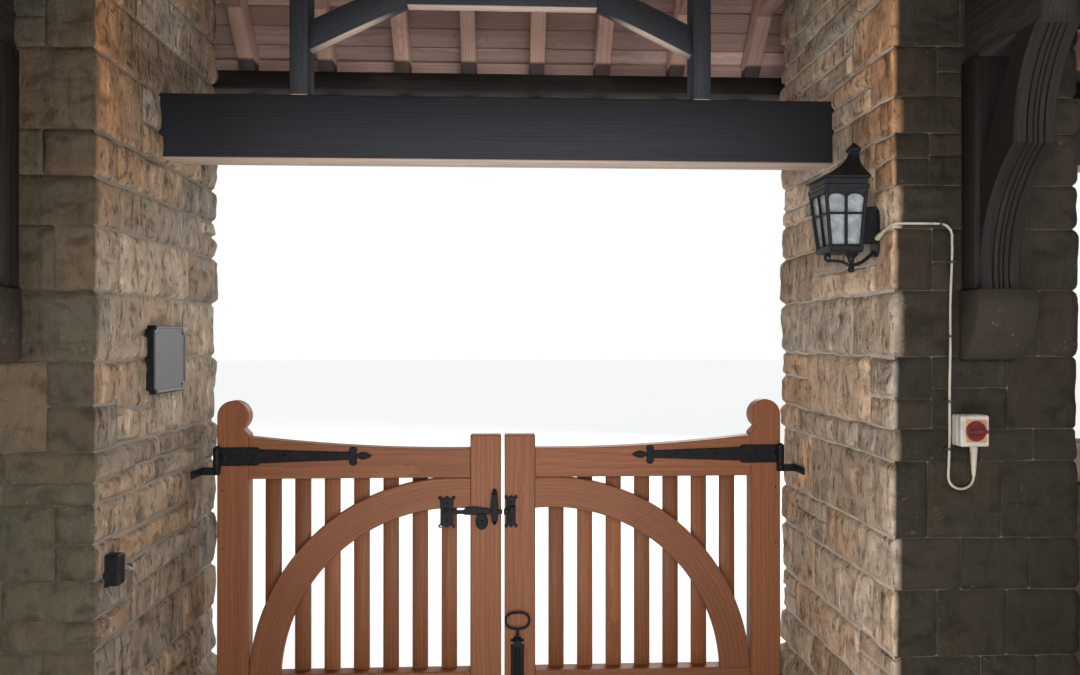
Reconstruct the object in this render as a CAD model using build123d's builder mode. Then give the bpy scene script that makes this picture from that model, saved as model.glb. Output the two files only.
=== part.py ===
import math
import os

from build123d import *

os.makedirs("parts", exist_ok=True)

# Frame: X along the street front, +Y out through the gates to the road, +Z up.
# The origin is on the ground in the middle of the plan, under the ridge.

# Plan of the stonework
opening_width = 2300.0
pier_width = 550.0
wall_depth = 940.0
inner_depth = 2400.0
side_opening = 900.0
pocket_depth = 60.0
pier_top_clearance = 12.0

# Plinth and low side walls
plinth_projection = 35.0
plinth_height = 220.0
plinth_weathering = 60.0
low_wall_thickness = 420.0
low_wall_height = 1060.0
coping_height = 110.0
coping_overhang = 40.0
coping_rise = 35.0

# Hammer beams through the piers, and the corbels, wall posts and cusped braces under them
truss_inset = 275.0
beam_width = 118.0
beam_depth = 256.0
beam_underside = 2334.0
beam_overhang = 320.0
hammer_reach = 372.0
hammer_post_depth = 100.0
side_plate_depth = 150.0
truss_collar_rise = 1460.0
truss_collar_depth = 150.0
corbel_inset = 285.0
corbel_width = 180.0
corbel_drop = 669.0
corbel_face = 65.0
corbel_height = 202.0
corbel_projection = 100.0
corbel_toe = 25.0
wall_post_inset = 272.0
wall_post_width = 138.0
wall_post_depth = 72.0
brace_thickness = 116.0
brace_foot = 82.0
brace_lower_bow = 100.0
cusp_projection = 232.0
cusp_drop = 286.0
brace_upper_bow = 248.0
brace_reach = 324.0
brace_back_drop = 322.0
brace_back_reach = 238.0

# Timber frame over each gate passage
frame_setback = 441.0
frame_drop = 198.0
frame_beam_thickness = 125.0
frame_beam_depth = 217.0
frame_post_inset = 459.0
frame_post_width = 62.0
frame_post_depth = 100.0
frame_post_height = 407.0
frame_raker_thickness = 50.0
frame_raker_width = 90.0
frame_raker_drop = 245.0
frame_collar_depth = 85.0
frame_raker_run = 330.0
frame_head_depth = 100.0

# Roof
roof_pitch = 48.2
eaves_plate_depth = 75.0
eaves_plate_inset = 210.0
eaves_plate_width = 110.0
eaves_overhang = 190.0
verge_overhang = 160.0
rafter_width = 62.0
rafter_depth = 100.0
central_rafter_shares = (0.127, 0.373, 0.653, 0.942)
side_rafter_count = 4
side_rafter_margin = 50.0
rafter_tie_depth = 100.0
ridge_board_thickness = 40.0
ridge_board_depth = 190.0
king_post_width = 110.0
roof_skin = 60.0
ridge_tile_radius = 95.0
ridge_tile_thickness = 18.0
barge_board_depth = 210.0
barge_board_thickness = 38.0
gable_board_thickness = 24.0

# Gate leaves
gate_setback = 828.0
leaf_thickness = 60.0
hinge_gap = 53.0
meeting_gap = 13.0
stile_width = 120.0
stile_foot = 60.0
picket_width = 60.0
picket_thickness = 22.0
picket_count = 7
meeting_stile_top = 1150.0
shoulder_height = 1146.0
ball_radius = 60.0
ball_rise = 80.0
ball_height = shoulder_height + ball_rise
neck_width = 97.0
neck_notch_rise = 35.0
neck_notch_drop = 25.0
top_rail_underside = 985.0
top_rail_low = 1098.0
top_rail_sag = 14.0
bottom_rail_top = 231.0
bottom_rail_foot = 85.0
arch_inset = 60.5
arch_clearance = 0.5
arch_width = 117.5
arch_thickness = 34.0

# Strap hinges and pintles
strap_heights = (155.0, 1072.0)
strap_thickness = 8.0
cuff_height = 70.0
cuff_length = 157.0
cuff_thickness = 4.0
strap_start_height = 52.0
strap_end_height = 30.0
strap_neck_reach = 497.0
strap_lobe_reach = 520.0
strap_lobe_radius = 15.0
strap_tip_reach = 592.0
pin_inset = 7.0
pin_setback = 20.0
pin_radius = 8.0
eye_radius = 14.0
eye_height = 76.0
running_clearance = 0.5
seat_gap = 0.3
pin_rise = 6.0
bracket_height = 28.0
bracket_width = 20.0
bracket_plate_length = 110.0
bracket_plate_thickness = 8.0

# Latch on the left leaf, keeper and drop bolt on the right leaf
latch_height = 853.0
latch_pivot_x = 217.0
latch_plate_width = 62.0
latch_plate_height = 122.0
latch_plate_thickness = 5.0
latch_bar_height = 20.0
latch_bar_thickness = 6.0
latch_end_clearance = 8.2
pivot_radius = 6.0
knob_x = 88.0
knob_radius = 20.0
knob_drop = 27.0
knob_depth = 26.0
staple_x = 32.0
staple_width = 28.0
staple_rise = 87.0
staple_drop = 51.0
staple_bow = 22.0
staple_thickness = 5.0
staple_leg_depth = 28.0
keeper_left = 10.0
keeper_width = 53.0
keeper_height = 124.0
bolt_x = 57.0
bolt_radius = 8.0
bolt_tip = 10.0
bolt_top = 395.0
bolt_setback = 15.0
bolt_ring_width = 100.0
bolt_ring_height = 72.0
bolt_ring_wire = 9.0
bolt_plate_top = 357.0
bolt_plate_height = 225.0
bolt_plate_width = 52.0
bolt_block_height = 34.0
bolt_block_width = 34.0
bolt_collar_radius = 14.0
bolt_collar_height = 10.0

# Fittings on the stonework
lantern_reach = 100.0
lantern_setback = 113.0
lantern_base = 1797.0
lantern_glass_top = 1984.0
lantern_roof_foot = 2020.0
lantern_roof_top = 2118.0
lantern_roof_radius = 76.0
lantern_top_radius = 64.0
lantern_base_radius = 44.0
lantern_wall = 6.0
lantern_plate_width = 64.0
lantern_plate_height = 190.0
cable_radius = 4.0
cable_stand = 5.0
cable_bend = 20.0
cable_wide_bend = 37.0
cable_height = 1862.0
cable_start_drop = 30.0
cable_drop_inset = 172.0
cable_lean = 14.0
cable_loop_bottom = 1083.0
gland_offset = 20.0
isolator_inset = 215.0
isolator_z = 1257.0
isolator_width = 84.0
isolator_height = 90.0
isolator_depth = 52.0
knob_plate_radius = 29.0
plaque_setback = 457.0
plaque_width = 253.0
plaque_height = 225.0
plaque_z = 1456.0
plaque_depth = 31.0
catch_setback = 64.0
catch_width = 45.0
catch_height = 90.0
catch_depth = 39.0
catch_z = 850.0
catch_arm_radius = 7.0
catch_arm_reach = 62.0
catch_arm_run = 40.0
catch_arm_drop = 38.0

# Places worked out from the sizes above
half_opening = opening_width / 2
truss_x = half_opening + truss_inset
corbel_x = half_opening + corbel_inset
wall_post_x = half_opening + wall_post_inset
frame_post_x = half_opening - frame_post_inset
lantern_x = half_opening - lantern_reach
cable_drop_x = half_opening + cable_drop_inset
isolator_x = half_opening + isolator_inset
pier_outer = half_opening + pier_width
end_pier_inner = pier_outer + side_opening
end_pier_outer = end_pier_inner + pier_width
gable_x = (end_pier_inner + end_pier_outer) / 2
wall_inner = inner_depth / 2
wall_outer = wall_inner + wall_depth
gate_inner_face = wall_inner + gate_setback
lantern_y = wall_inner + lantern_setback
plaque_y = wall_inner + plaque_setback
catch_y = wall_inner + catch_setback
beam_top = beam_underside + beam_depth
eaves_plate_top = beam_top + eaves_plate_depth
frame_beam_underside = beam_underside - frame_drop
frame_beam_top = frame_beam_underside + frame_beam_depth
frame_head_underside = frame_beam_top + frame_post_height
frame_raker_foot = frame_head_underside - frame_raker_drop
frame_collar_underside = frame_head_underside - frame_collar_depth
rafter_tie_underside = frame_head_underside + frame_head_depth
corbel_top = beam_underside - corbel_drop
cusp_height = beam_underside - cusp_drop
brace_back_foot = beam_underside - brace_back_drop
truss_collar_underside = beam_top + truss_collar_rise
roof_slope = math.tan(math.radians(roof_pitch))
roof_cos = math.cos(math.radians(roof_pitch))
plate_inner = wall_outer + eaves_plate_inset
rafter_rise = rafter_depth / roof_cos
skin_rise = roof_skin / roof_cos
eaves_y = plate_inner + eaves_overhang
ridge_half = ridge_board_thickness / 2
frame_front = wall_inner + frame_setback
pin_y = gate_inner_face - pin_setback
leaf_outer = half_opening - hinge_gap
leaf_meeting = meeting_gap / 2
leaf_stile_inner = leaf_outer - stile_width
leaf_meet_inner = leaf_meeting + stile_width
leaf_back = gate_inner_face + leaf_thickness
arch_centre_x = leaf_meet_inner + arch_inset
arch_outer_radius = leaf_stile_inner - arch_centre_x - arch_clearance
arch_centre_z = top_rail_underside - arch_outer_radius - arch_clearance
strap_neck_x = leaf_outer - strap_neck_reach
strap_lobe_x = leaf_outer - strap_lobe_reach
strap_tip_x = leaf_outer - strap_tip_reach
pin_x = leaf_outer - pin_inset
staple_top = latch_height + staple_rise
staple_foot = latch_height - staple_drop


def rafter_line(y):
    # Height of the underside of the rafters at a distance y from the ridge
    return eaves_plate_top + (plate_inner - y) * roof_slope


def wall_plane(y):
    # Upright plane facing the passage, with X across and Z up
    return Plane((0, y, 0), x_dir=(1, 0, 0), z_dir=(0, -1, 0))


def save(builder, label):
    builder.part.label = label
    export_step(builder.part, f"parts/{label}.step")


pier_top = rafter_line(wall_outer) - pier_top_clearance
end_pier_top = min(pier_top, rafter_tie_underside)

# Hammer beams through the central piers, and whole tie beams in the two gables
hammer_end = wall_inner - hammer_reach
hammer_length = hammer_reach + wall_depth + beam_overhang
with BuildPart() as hammer_beams:
    with BuildSketch(Plane.XY.offset(beam_underside)):
        with GridLocations(2 * truss_x, 2 * hammer_end + hammer_length, 2, 2):
            Rectangle(beam_width, hammer_length)
    extrude(amount=beam_depth)
save(hammer_beams, "hammer_beams")

with BuildPart() as gable_tie_beams:
    with BuildSketch(Plane.XY.offset(beam_underside)):
        with GridLocations(2 * gable_x, 0, 2, 1):
            Rectangle(beam_width, 2 * (wall_outer + beam_overhang))
    extrude(amount=beam_depth)
save(gable_tie_beams, "gable_tie_beams")

# Tie beams of the two passage frames, built into the reveals
frame_beams = {}
for label, turn in (("front_tie_beam", 1), ("rear_tie_beam", -1)):
    with BuildPart() as tie_beam:
        with BuildSketch(Plane.XY.offset(frame_beam_underside)):
            with Locations((0, turn * (frame_front + frame_beam_thickness / 2))):
                Rectangle(opening_width + 2 * pocket_depth, frame_beam_thickness)
        extrude(amount=frame_beam_depth)
    save(tie_beam, label)
    frame_beams[label] = tie_beam.part

# Tie beams over the side bays, in line with those of the passage
with BuildPart() as side_tie_beams:
    with BuildSketch(Plane.XY.offset(frame_beam_underside)):
        with GridLocations(2 * pier_outer + side_opening, 2 * frame_front + frame_beam_thickness, 2, 2):
            Rectangle(side_opening + 2 * pocket_depth, frame_beam_thickness)
    extrude(amount=frame_beam_depth)
save(side_tie_beams, "side_tie_beams")

# Head beams of the passage frames, under the rafter ties
with BuildPart() as frame_head_beams:
    with BuildSketch(Plane.XY.offset(frame_head_underside)):
        with GridLocations(0, 2 * frame_front + frame_post_depth, 1, 2):
            Rectangle(opening_width + 2 * pocket_depth, frame_post_depth)
    extrude(amount=frame_head_depth)
save(frame_head_beams, "frame_head_beams")

# Piers, each one mass of masonry with a weathered plinth and pockets for the beams
pier_solids = []
pier_places = []
for depth_name, turn in (("front", 1), ("rear", -1)):
    for side_name, side in (("left", -1), ("right", 1)):
        pier_places.append((f"{depth_name}_pier_{side_name}", side * (half_opening + pier_width / 2), turn, pier_top))
for label, pier_x, turn, top in pier_places:
    pier_y = turn * (wall_inner + wall_depth / 2)
    with BuildPart() as pier:
        with BuildSketch(Plane.XY):
            with Locations((pier_x, pier_y)):
                Rectangle(pier_width, wall_depth)
        extrude(amount=top)
        with BuildSketch(Plane.XY):
            with Locations((pier_x, pier_y)):
                Rectangle(pier_width + 2 * plinth_projection, wall_depth + 2 * plinth_projection)
        extrude(amount=plinth_height)
        with BuildSketch(Plane.XY.offset(plinth_height)):
            with Locations((pier_x, pier_y)):
                Rectangle(pier_width + 2 * plinth_projection, wall_depth + 2 * plinth_projection)
        with BuildSketch(Plane.XY.offset(plinth_height + plinth_weathering)):
            with Locations((pier_x, pier_y)):
                Rectangle(pier_width, wall_depth)
        loft()
        add(hammer_beams.part, mode=Mode.SUBTRACT)
        add(side_tie_beams.part, mode=Mode.SUBTRACT)
        add(frame_head_beams.part, mode=Mode.SUBTRACT)
        for beam in frame_beams.values():
            add(beam, mode=Mode.SUBTRACT)
    save(pier, label)
    pier_solids.append(pier.part)

with BuildPart() as end_piers:
    pier_grid = GridLocations(2 * gable_x, 2 * wall_inner + wall_depth, 2, 2)
    with BuildSketch(Plane.XY):
        with GridLocations(2 * gable_x, 2 * wall_inner + wall_depth, 2, 2):
            Rectangle(pier_width, wall_depth)
    extrude(amount=end_pier_top)
    with BuildSketch(Plane.XY):
        with GridLocations(2 * gable_x, 2 * wall_inner + wall_depth, 2, 2):
            Rectangle(pier_width + 2 * plinth_projection, wall_depth + 2 * plinth_projection)
    extrude(amount=plinth_height)
    for place in pier_grid.locations:
        with BuildSketch(Plane.XY.offset(plinth_height)):
            with Locations(place):
                Rectangle(pier_width + 2 * plinth_projection, wall_depth + 2 * plinth_projection)
        with BuildSketch(Plane.XY.offset(plinth_height + plinth_weathering)):
            with Locations(place):
                Rectangle(pier_width, wall_depth)
        loft()
    add(gable_tie_beams.part, mode=Mode.SUBTRACT)
    add(side_tie_beams.part, mode=Mode.SUBTRACT)
save(end_piers, "end_piers")
pier_solids.append(end_piers.part)

# Low walls that close the side bays and the two ends, with weathered copings
bay_x = pier_outer + side_opening / 2
bay_y = wall_inner + wall_depth / 2
low_walls = (
    ("side_low_walls", (bay_x, bay_y), side_opening, low_wall_thickness),
    ("end_low_walls", (gable_x, 0), low_wall_thickness, inner_depth),
)
for label, wall_place, size_x, size_y in low_walls:
    along_x = label != "end_low_walls"
    grow_x = 0 if along_x else 2 * coping_overhang
    grow_y = 2 * coping_overhang if along_x else 0
    ridge_x = size_x if along_x else coping_rise
    ridge_y = coping_rise if along_x else size_y
    with BuildPart() as low_wall:
        with BuildSketch(Plane.XY):
            with Locations(wall_place):
                Rectangle(size_x, size_y)
        extrude(amount=low_wall_height)
        with BuildSketch(Plane.XY.offset(low_wall_height)):
            with Locations(wall_place):
                Rectangle(size_x + grow_x, size_y + grow_y)
        extrude(amount=coping_height - coping_rise)
        with BuildSketch(Plane.XY.offset(low_wall_height + coping_height - coping_rise)):
            with Locations(wall_place):
                Rectangle(size_x + grow_x, size_y + grow_y)
        with BuildSketch(Plane.XY.offset(low_wall_height + coping_height)):
            with Locations(wall_place):
                Rectangle(ridge_x, ridge_y)
        loft()
        if along_x:
            mirror(about=Plane.XZ)
        mirror(about=Plane.YZ)
        for solid in pier_solids:
            add(solid, mode=Mode.SUBTRACT)
    save(low_wall, label)

# Stone corbels on the inner faces of the four central piers
with BuildPart() as corbels:
    with BuildSketch(Plane.YZ.offset(corbel_x)):
        with BuildLine():
            Polyline(
                (wall_inner, corbel_top - corbel_height),
                (wall_inner, corbel_top),
                (wall_inner - corbel_projection, corbel_top),
                (wall_inner - corbel_projection, corbel_top - corbel_face),
            )
            ThreePointArc(
                (wall_inner - corbel_projection, corbel_top - corbel_face),
                (wall_inner - 0.56 * corbel_projection, corbel_top - 0.68 * corbel_height),
                (wall_inner - corbel_toe, corbel_top - corbel_height),
            )
            Line((wall_inner - corbel_toe, corbel_top - corbel_height), (wall_inner, corbel_top - corbel_height))
        make_face()
    extrude(amount=corbel_width / 2, both=True)
    mirror(about=Plane.XZ)
    mirror(about=Plane.YZ)
save(corbels, "corbels")

# Wall posts from the corbels up to the hammer beams
with BuildPart() as wall_posts:
    with BuildSketch(Plane.XY.offset(corbel_top)):
        with GridLocations(2 * wall_post_x, 2 * wall_inner - wall_post_depth, 2, 2):
            Rectangle(wall_post_width, wall_post_depth)
    extrude(amount=beam_underside - corbel_top)
save(wall_posts, "wall_posts")

# Cusped braces: the soffit is two arcs that meet in a point
post_face = wall_inner - wall_post_depth
with BuildPart() as cusped_braces:
    with BuildSketch(Plane.YZ.offset(truss_x)):
        with BuildLine():
            ThreePointArc(
                (wall_inner - brace_foot, corbel_top),
                (wall_inner - brace_lower_bow, (corbel_top + cusp_height) / 2),
                (wall_inner - cusp_projection, cusp_height),
            )
            ThreePointArc(
                (wall_inner - cusp_projection, cusp_height),
                (wall_inner - brace_upper_bow, (cusp_height + beam_underside) / 2),
                (wall_inner - brace_reach, beam_underside),
            )
            Polyline(
                (wall_inner - brace_reach, beam_underside),
                (wall_inner - brace_back_reach, beam_underside),
                (post_face, brace_back_foot),
                (post_face, corbel_top),
                (wall_inner - brace_foot, corbel_top),
            )
        make_face()
    extrude(amount=brace_thickness / 2, both=True)
    mirror(about=Plane.XZ)
    mirror(about=Plane.YZ)
save(cusped_braces, "cusped_braces")

# Posts of the passage frames, with the flat arch of rakers and collar between them
raker_inner = frame_post_x - frame_post_width / 2
frame_collar_half = raker_inner - frame_raker_run
with BuildPart() as frame_posts:
    with BuildSketch(Plane.XY.offset(frame_beam_top)):
        with GridLocations(2 * frame_post_x, 2 * frame_front + frame_post_depth, 2, 2):
            Rectangle(frame_post_width, frame_post_depth)
    extrude(amount=frame_post_height)
save(frame_posts, "frame_posts")

raker_rise = (frame_raker_drop - frame_collar_depth) / (raker_inner - frame_collar_half)
raker_vertical = frame_raker_width * math.sqrt(1 + raker_rise**2)
raker_set = frame_front + (frame_post_depth - frame_raker_thickness) / 2
raker_head_x = raker_inner - (frame_raker_drop - raker_vertical) / raker_rise
with BuildPart() as frame_rakers:
    with BuildSketch(wall_plane(raker_set)):
        with BuildLine():
            Polyline(
                (raker_inner, frame_raker_foot),
                (frame_collar_half, frame_collar_underside),
                (frame_collar_half, frame_head_underside),
                (raker_head_x, frame_head_underside),
                (raker_inner, frame_raker_foot + raker_vertical),
                close=True,
            )
        make_face()
    extrude(amount=-frame_raker_thickness)
    mirror(about=Plane.XZ)
    mirror(about=Plane.YZ)
save(frame_rakers, "frame_rakers")

with BuildPart() as frame_collars:
    with BuildSketch(Plane.XY.offset(frame_collar_underside)):
        with GridLocations(0, 2 * raker_set + frame_raker_thickness, 1, 2):
            Rectangle(2 * frame_collar_half, frame_raker_thickness)
    extrude(amount=frame_collar_depth)
save(frame_collars, "frame_collars")

# Eaves plates on the ends of the cross beams
roof_half_length = end_pier_outer + verge_overhang
plate_half_length = roof_half_length - barge_board_thickness
with BuildPart() as eaves_plates:
    with BuildSketch(Plane.XY.offset(beam_top)):
        with GridLocations(0, 2 * plate_inner + eaves_plate_width, 1, 2):
            Rectangle(2 * plate_half_length, eaves_plate_width)
    extrude(amount=eaves_plate_depth)
save(eaves_plates, "eaves_plates")

# Ridge board
ridge_underside = rafter_line(ridge_half) + rafter_rise - ridge_board_depth
with BuildPart() as ridge_board:
    with BuildSketch(Plane.XY.offset(ridge_underside)):
        Rectangle(2 * plate_half_length, ridge_board_thickness)
    extrude(amount=ridge_board_depth)
save(ridge_board, "ridge_board")

# Rafters of each slope, notched over the eaves plate
side_step = (side_opening - 2 * side_rafter_margin) / (side_rafter_count - 1)
common_places = [half_opening * share for share in central_rafter_shares]
for index in range(side_rafter_count):
    common_places.append(pier_outer + side_rafter_margin + index * side_step)
principal_places = (truss_x, gable_x)
plate_outer = plate_inner + eaves_plate_width
rafter_sets = (("common_rafters", common_places, rafter_width), ("principal_rafters", principal_places, beam_width))
for label, places, width in rafter_sets:
    with BuildPart() as rafters:
        for rafter_x in places:
            with BuildSketch(Plane.YZ.offset(rafter_x)):
                with BuildLine():
                    Polyline(
                        (ridge_half, rafter_line(ridge_half)),
                        (plate_inner, eaves_plate_top),
                        (plate_outer, eaves_plate_top),
                        (plate_outer, rafter_line(plate_outer)),
                        (eaves_y, rafter_line(eaves_y)),
                        (eaves_y, rafter_line(eaves_y) + rafter_rise),
                        (ridge_half, rafter_line(ridge_half) + rafter_rise),
                        close=True,
                    )
                make_face()
            extrude(amount=width / 2, both=True)
        mirror(about=Plane.YZ)
        mirror(about=Plane.XZ)
    save(rafters, label)

# Level ties between each couple of common rafters
tie_low_y = plate_inner - (rafter_tie_underside - eaves_plate_top) / roof_slope
tie_high_y = tie_low_y - rafter_tie_depth / roof_slope
with BuildPart() as rafter_ties:
    for rafter_x in common_places:
        with BuildSketch(Plane.YZ.offset(rafter_x)):
            with BuildLine():
                Polyline(
                    (-tie_low_y, rafter_tie_underside),
                    (tie_low_y, rafter_tie_underside),
                    (tie_high_y, rafter_tie_underside + rafter_tie_depth),
                    (-tie_high_y, rafter_tie_underside + rafter_tie_depth),
                    close=True,
                )
            make_face()
        extrude(amount=rafter_width / 2, both=True)
    mirror(about=Plane.YZ)
save(rafter_ties, "rafter_ties")

# Hammer posts from the beam ends up to the rafters, and the collars between them
hammer_post_back = hammer_end + hammer_post_depth
with BuildPart() as hammer_posts:
    with BuildSketch(Plane.YZ.offset(truss_x)):
        with BuildLine():
            Polyline(
                (hammer_end, beam_top),
                (hammer_post_back, beam_top),
                (hammer_post_back, rafter_line(hammer_post_back)),
                (hammer_end, rafter_line(hammer_end)),
                close=True,
            )
        make_face()
    extrude(amount=beam_width / 2, both=True)
    mirror(about=Plane.XZ)
    mirror(about=Plane.YZ)
save(hammer_posts, "hammer_posts")

with BuildPart() as truss_collars:
    with BuildSketch(Plane.XY.offset(truss_collar_underside)):
        with GridLocations(2 * truss_x, 0, 2, 1):
            Rectangle(beam_width, 2 * hammer_end)
    extrude(amount=truss_collar_depth)
save(truss_collars, "truss_collars")

# Plates from the hammer beams to the gable ties
side_plate_length = gable_x - truss_x - beam_width
with BuildPart() as side_plates:
    with BuildSketch(Plane.XY.offset(beam_underside)):
        with GridLocations(truss_x + gable_x, 2 * hammer_end + hammer_post_depth, 2, 2):
            Rectangle(side_plate_length, hammer_post_depth)
    extrude(amount=side_plate_depth)
save(side_plates, "side_plates")

# King posts: on the collars in the open trusses, on the tie beams in the gables
with BuildPart() as king_posts:
    with BuildSketch(Plane.XY.offset(truss_collar_underside + truss_collar_depth)):
        with GridLocations(2 * truss_x, 0, 2, 1):
            Rectangle(king_post_width, king_post_width)
    extrude(amount=ridge_underside - truss_collar_underside - truss_collar_depth)
    with BuildSketch(Plane.XY.offset(beam_top)):
        with GridLocations(2 * gable_x, 0, 2, 1):
            Rectangle(king_post_width, king_post_width)
    extrude(amount=ridge_underside - beam_top)
save(king_posts, "king_posts")

# Roof slopes: boarding and tiles as one slab, ridge tiles over the joint
skin_half_length = roof_half_length
for slope_name, turn in (("front", 1), ("rear", -1)):
    with BuildPart() as roof_slope_part:
        with BuildSketch(Plane.YZ):
            with BuildLine():
                Polyline(
                    (0, rafter_line(0) + rafter_rise),
                    (turn * eaves_y, rafter_line(eaves_y) + rafter_rise),
                    (turn * (eaves_y + roof_skin), rafter_line(eaves_y + roof_skin) + rafter_rise),
                    (turn * (eaves_y + roof_skin), rafter_line(eaves_y + roof_skin) + rafter_rise + skin_rise),
                    (0, rafter_line(0) + rafter_rise + skin_rise),
                    close=True,
                )
            make_face()
        extrude(amount=skin_half_length, both=True)
    save(roof_slope_part, f"{slope_name}_roof_slope")

ridge_peak = rafter_line(0) + rafter_rise + skin_rise
ridge_seat_y = ridge_tile_radius * math.sin(math.radians(roof_pitch))
with BuildPart() as ridge_tiles:
    with BuildSketch(Plane.YZ):
        with BuildLine():
            Polyline(
                (-ridge_seat_y, ridge_peak - ridge_seat_y * roof_slope),
                (0, ridge_peak),
                (ridge_seat_y, ridge_peak - ridge_seat_y * roof_slope),
            )
            ThreePointArc(
                (ridge_seat_y, ridge_peak - ridge_seat_y * roof_slope),
                (0, ridge_peak + ridge_tile_thickness * 2),
                (-ridge_seat_y, ridge_peak - ridge_seat_y * roof_slope),
            )
        make_face()
    extrude(amount=skin_half_length, both=True)
save(ridge_tiles, "ridge_tiles")

# Barge boards under the verges, a pair for each gable, and boarding in the gables
barge_x = roof_half_length - barge_board_thickness
barge_vertical = barge_board_depth / roof_cos
barge_top = rafter_line(0) + rafter_rise
barge_foot = rafter_line(eaves_y) + rafter_rise
barge_joint = 0.25
with BuildPart() as barge_boards:
    with BuildSketch(Plane.YZ.offset(barge_x)):
        with BuildLine():
            Polyline(
                (barge_joint, barge_top - barge_vertical - barge_joint * roof_slope),
                (eaves_y, barge_foot - barge_vertical),
                (eaves_y, barge_foot),
                (barge_joint, barge_top - barge_joint * roof_slope),
                close=True,
            )
        make_face()
    extrude(amount=barge_board_thickness)
    mirror(about=Plane.YZ)
    mirror(about=Plane.XZ)
save(barge_boards, "barge_boards")

gable_board_x = gable_x + beam_width / 2
with BuildPart() as gable_boarding:
    with BuildSketch(Plane.YZ.offset(gable_board_x)):
        with BuildLine():
            Polyline(
                (-plate_inner, beam_top),
                (plate_inner, beam_top),
                (plate_inner, rafter_line(plate_inner) + rafter_rise),
                (ridge_half, rafter_line(ridge_half) + rafter_rise),
                (ridge_half, ridge_underside),
                (-ridge_half, ridge_underside),
                (-ridge_half, rafter_line(ridge_half) + rafter_rise),
                (-plate_inner, rafter_line(plate_inner) + rafter_rise),
                close=True,
            )
        make_face()
    extrude(amount=gable_board_thickness)
    mirror(about=Plane.YZ)
    add(end_piers.part, mode=Mode.SUBTRACT)
save(gable_boarding, "gable_boarding")

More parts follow.
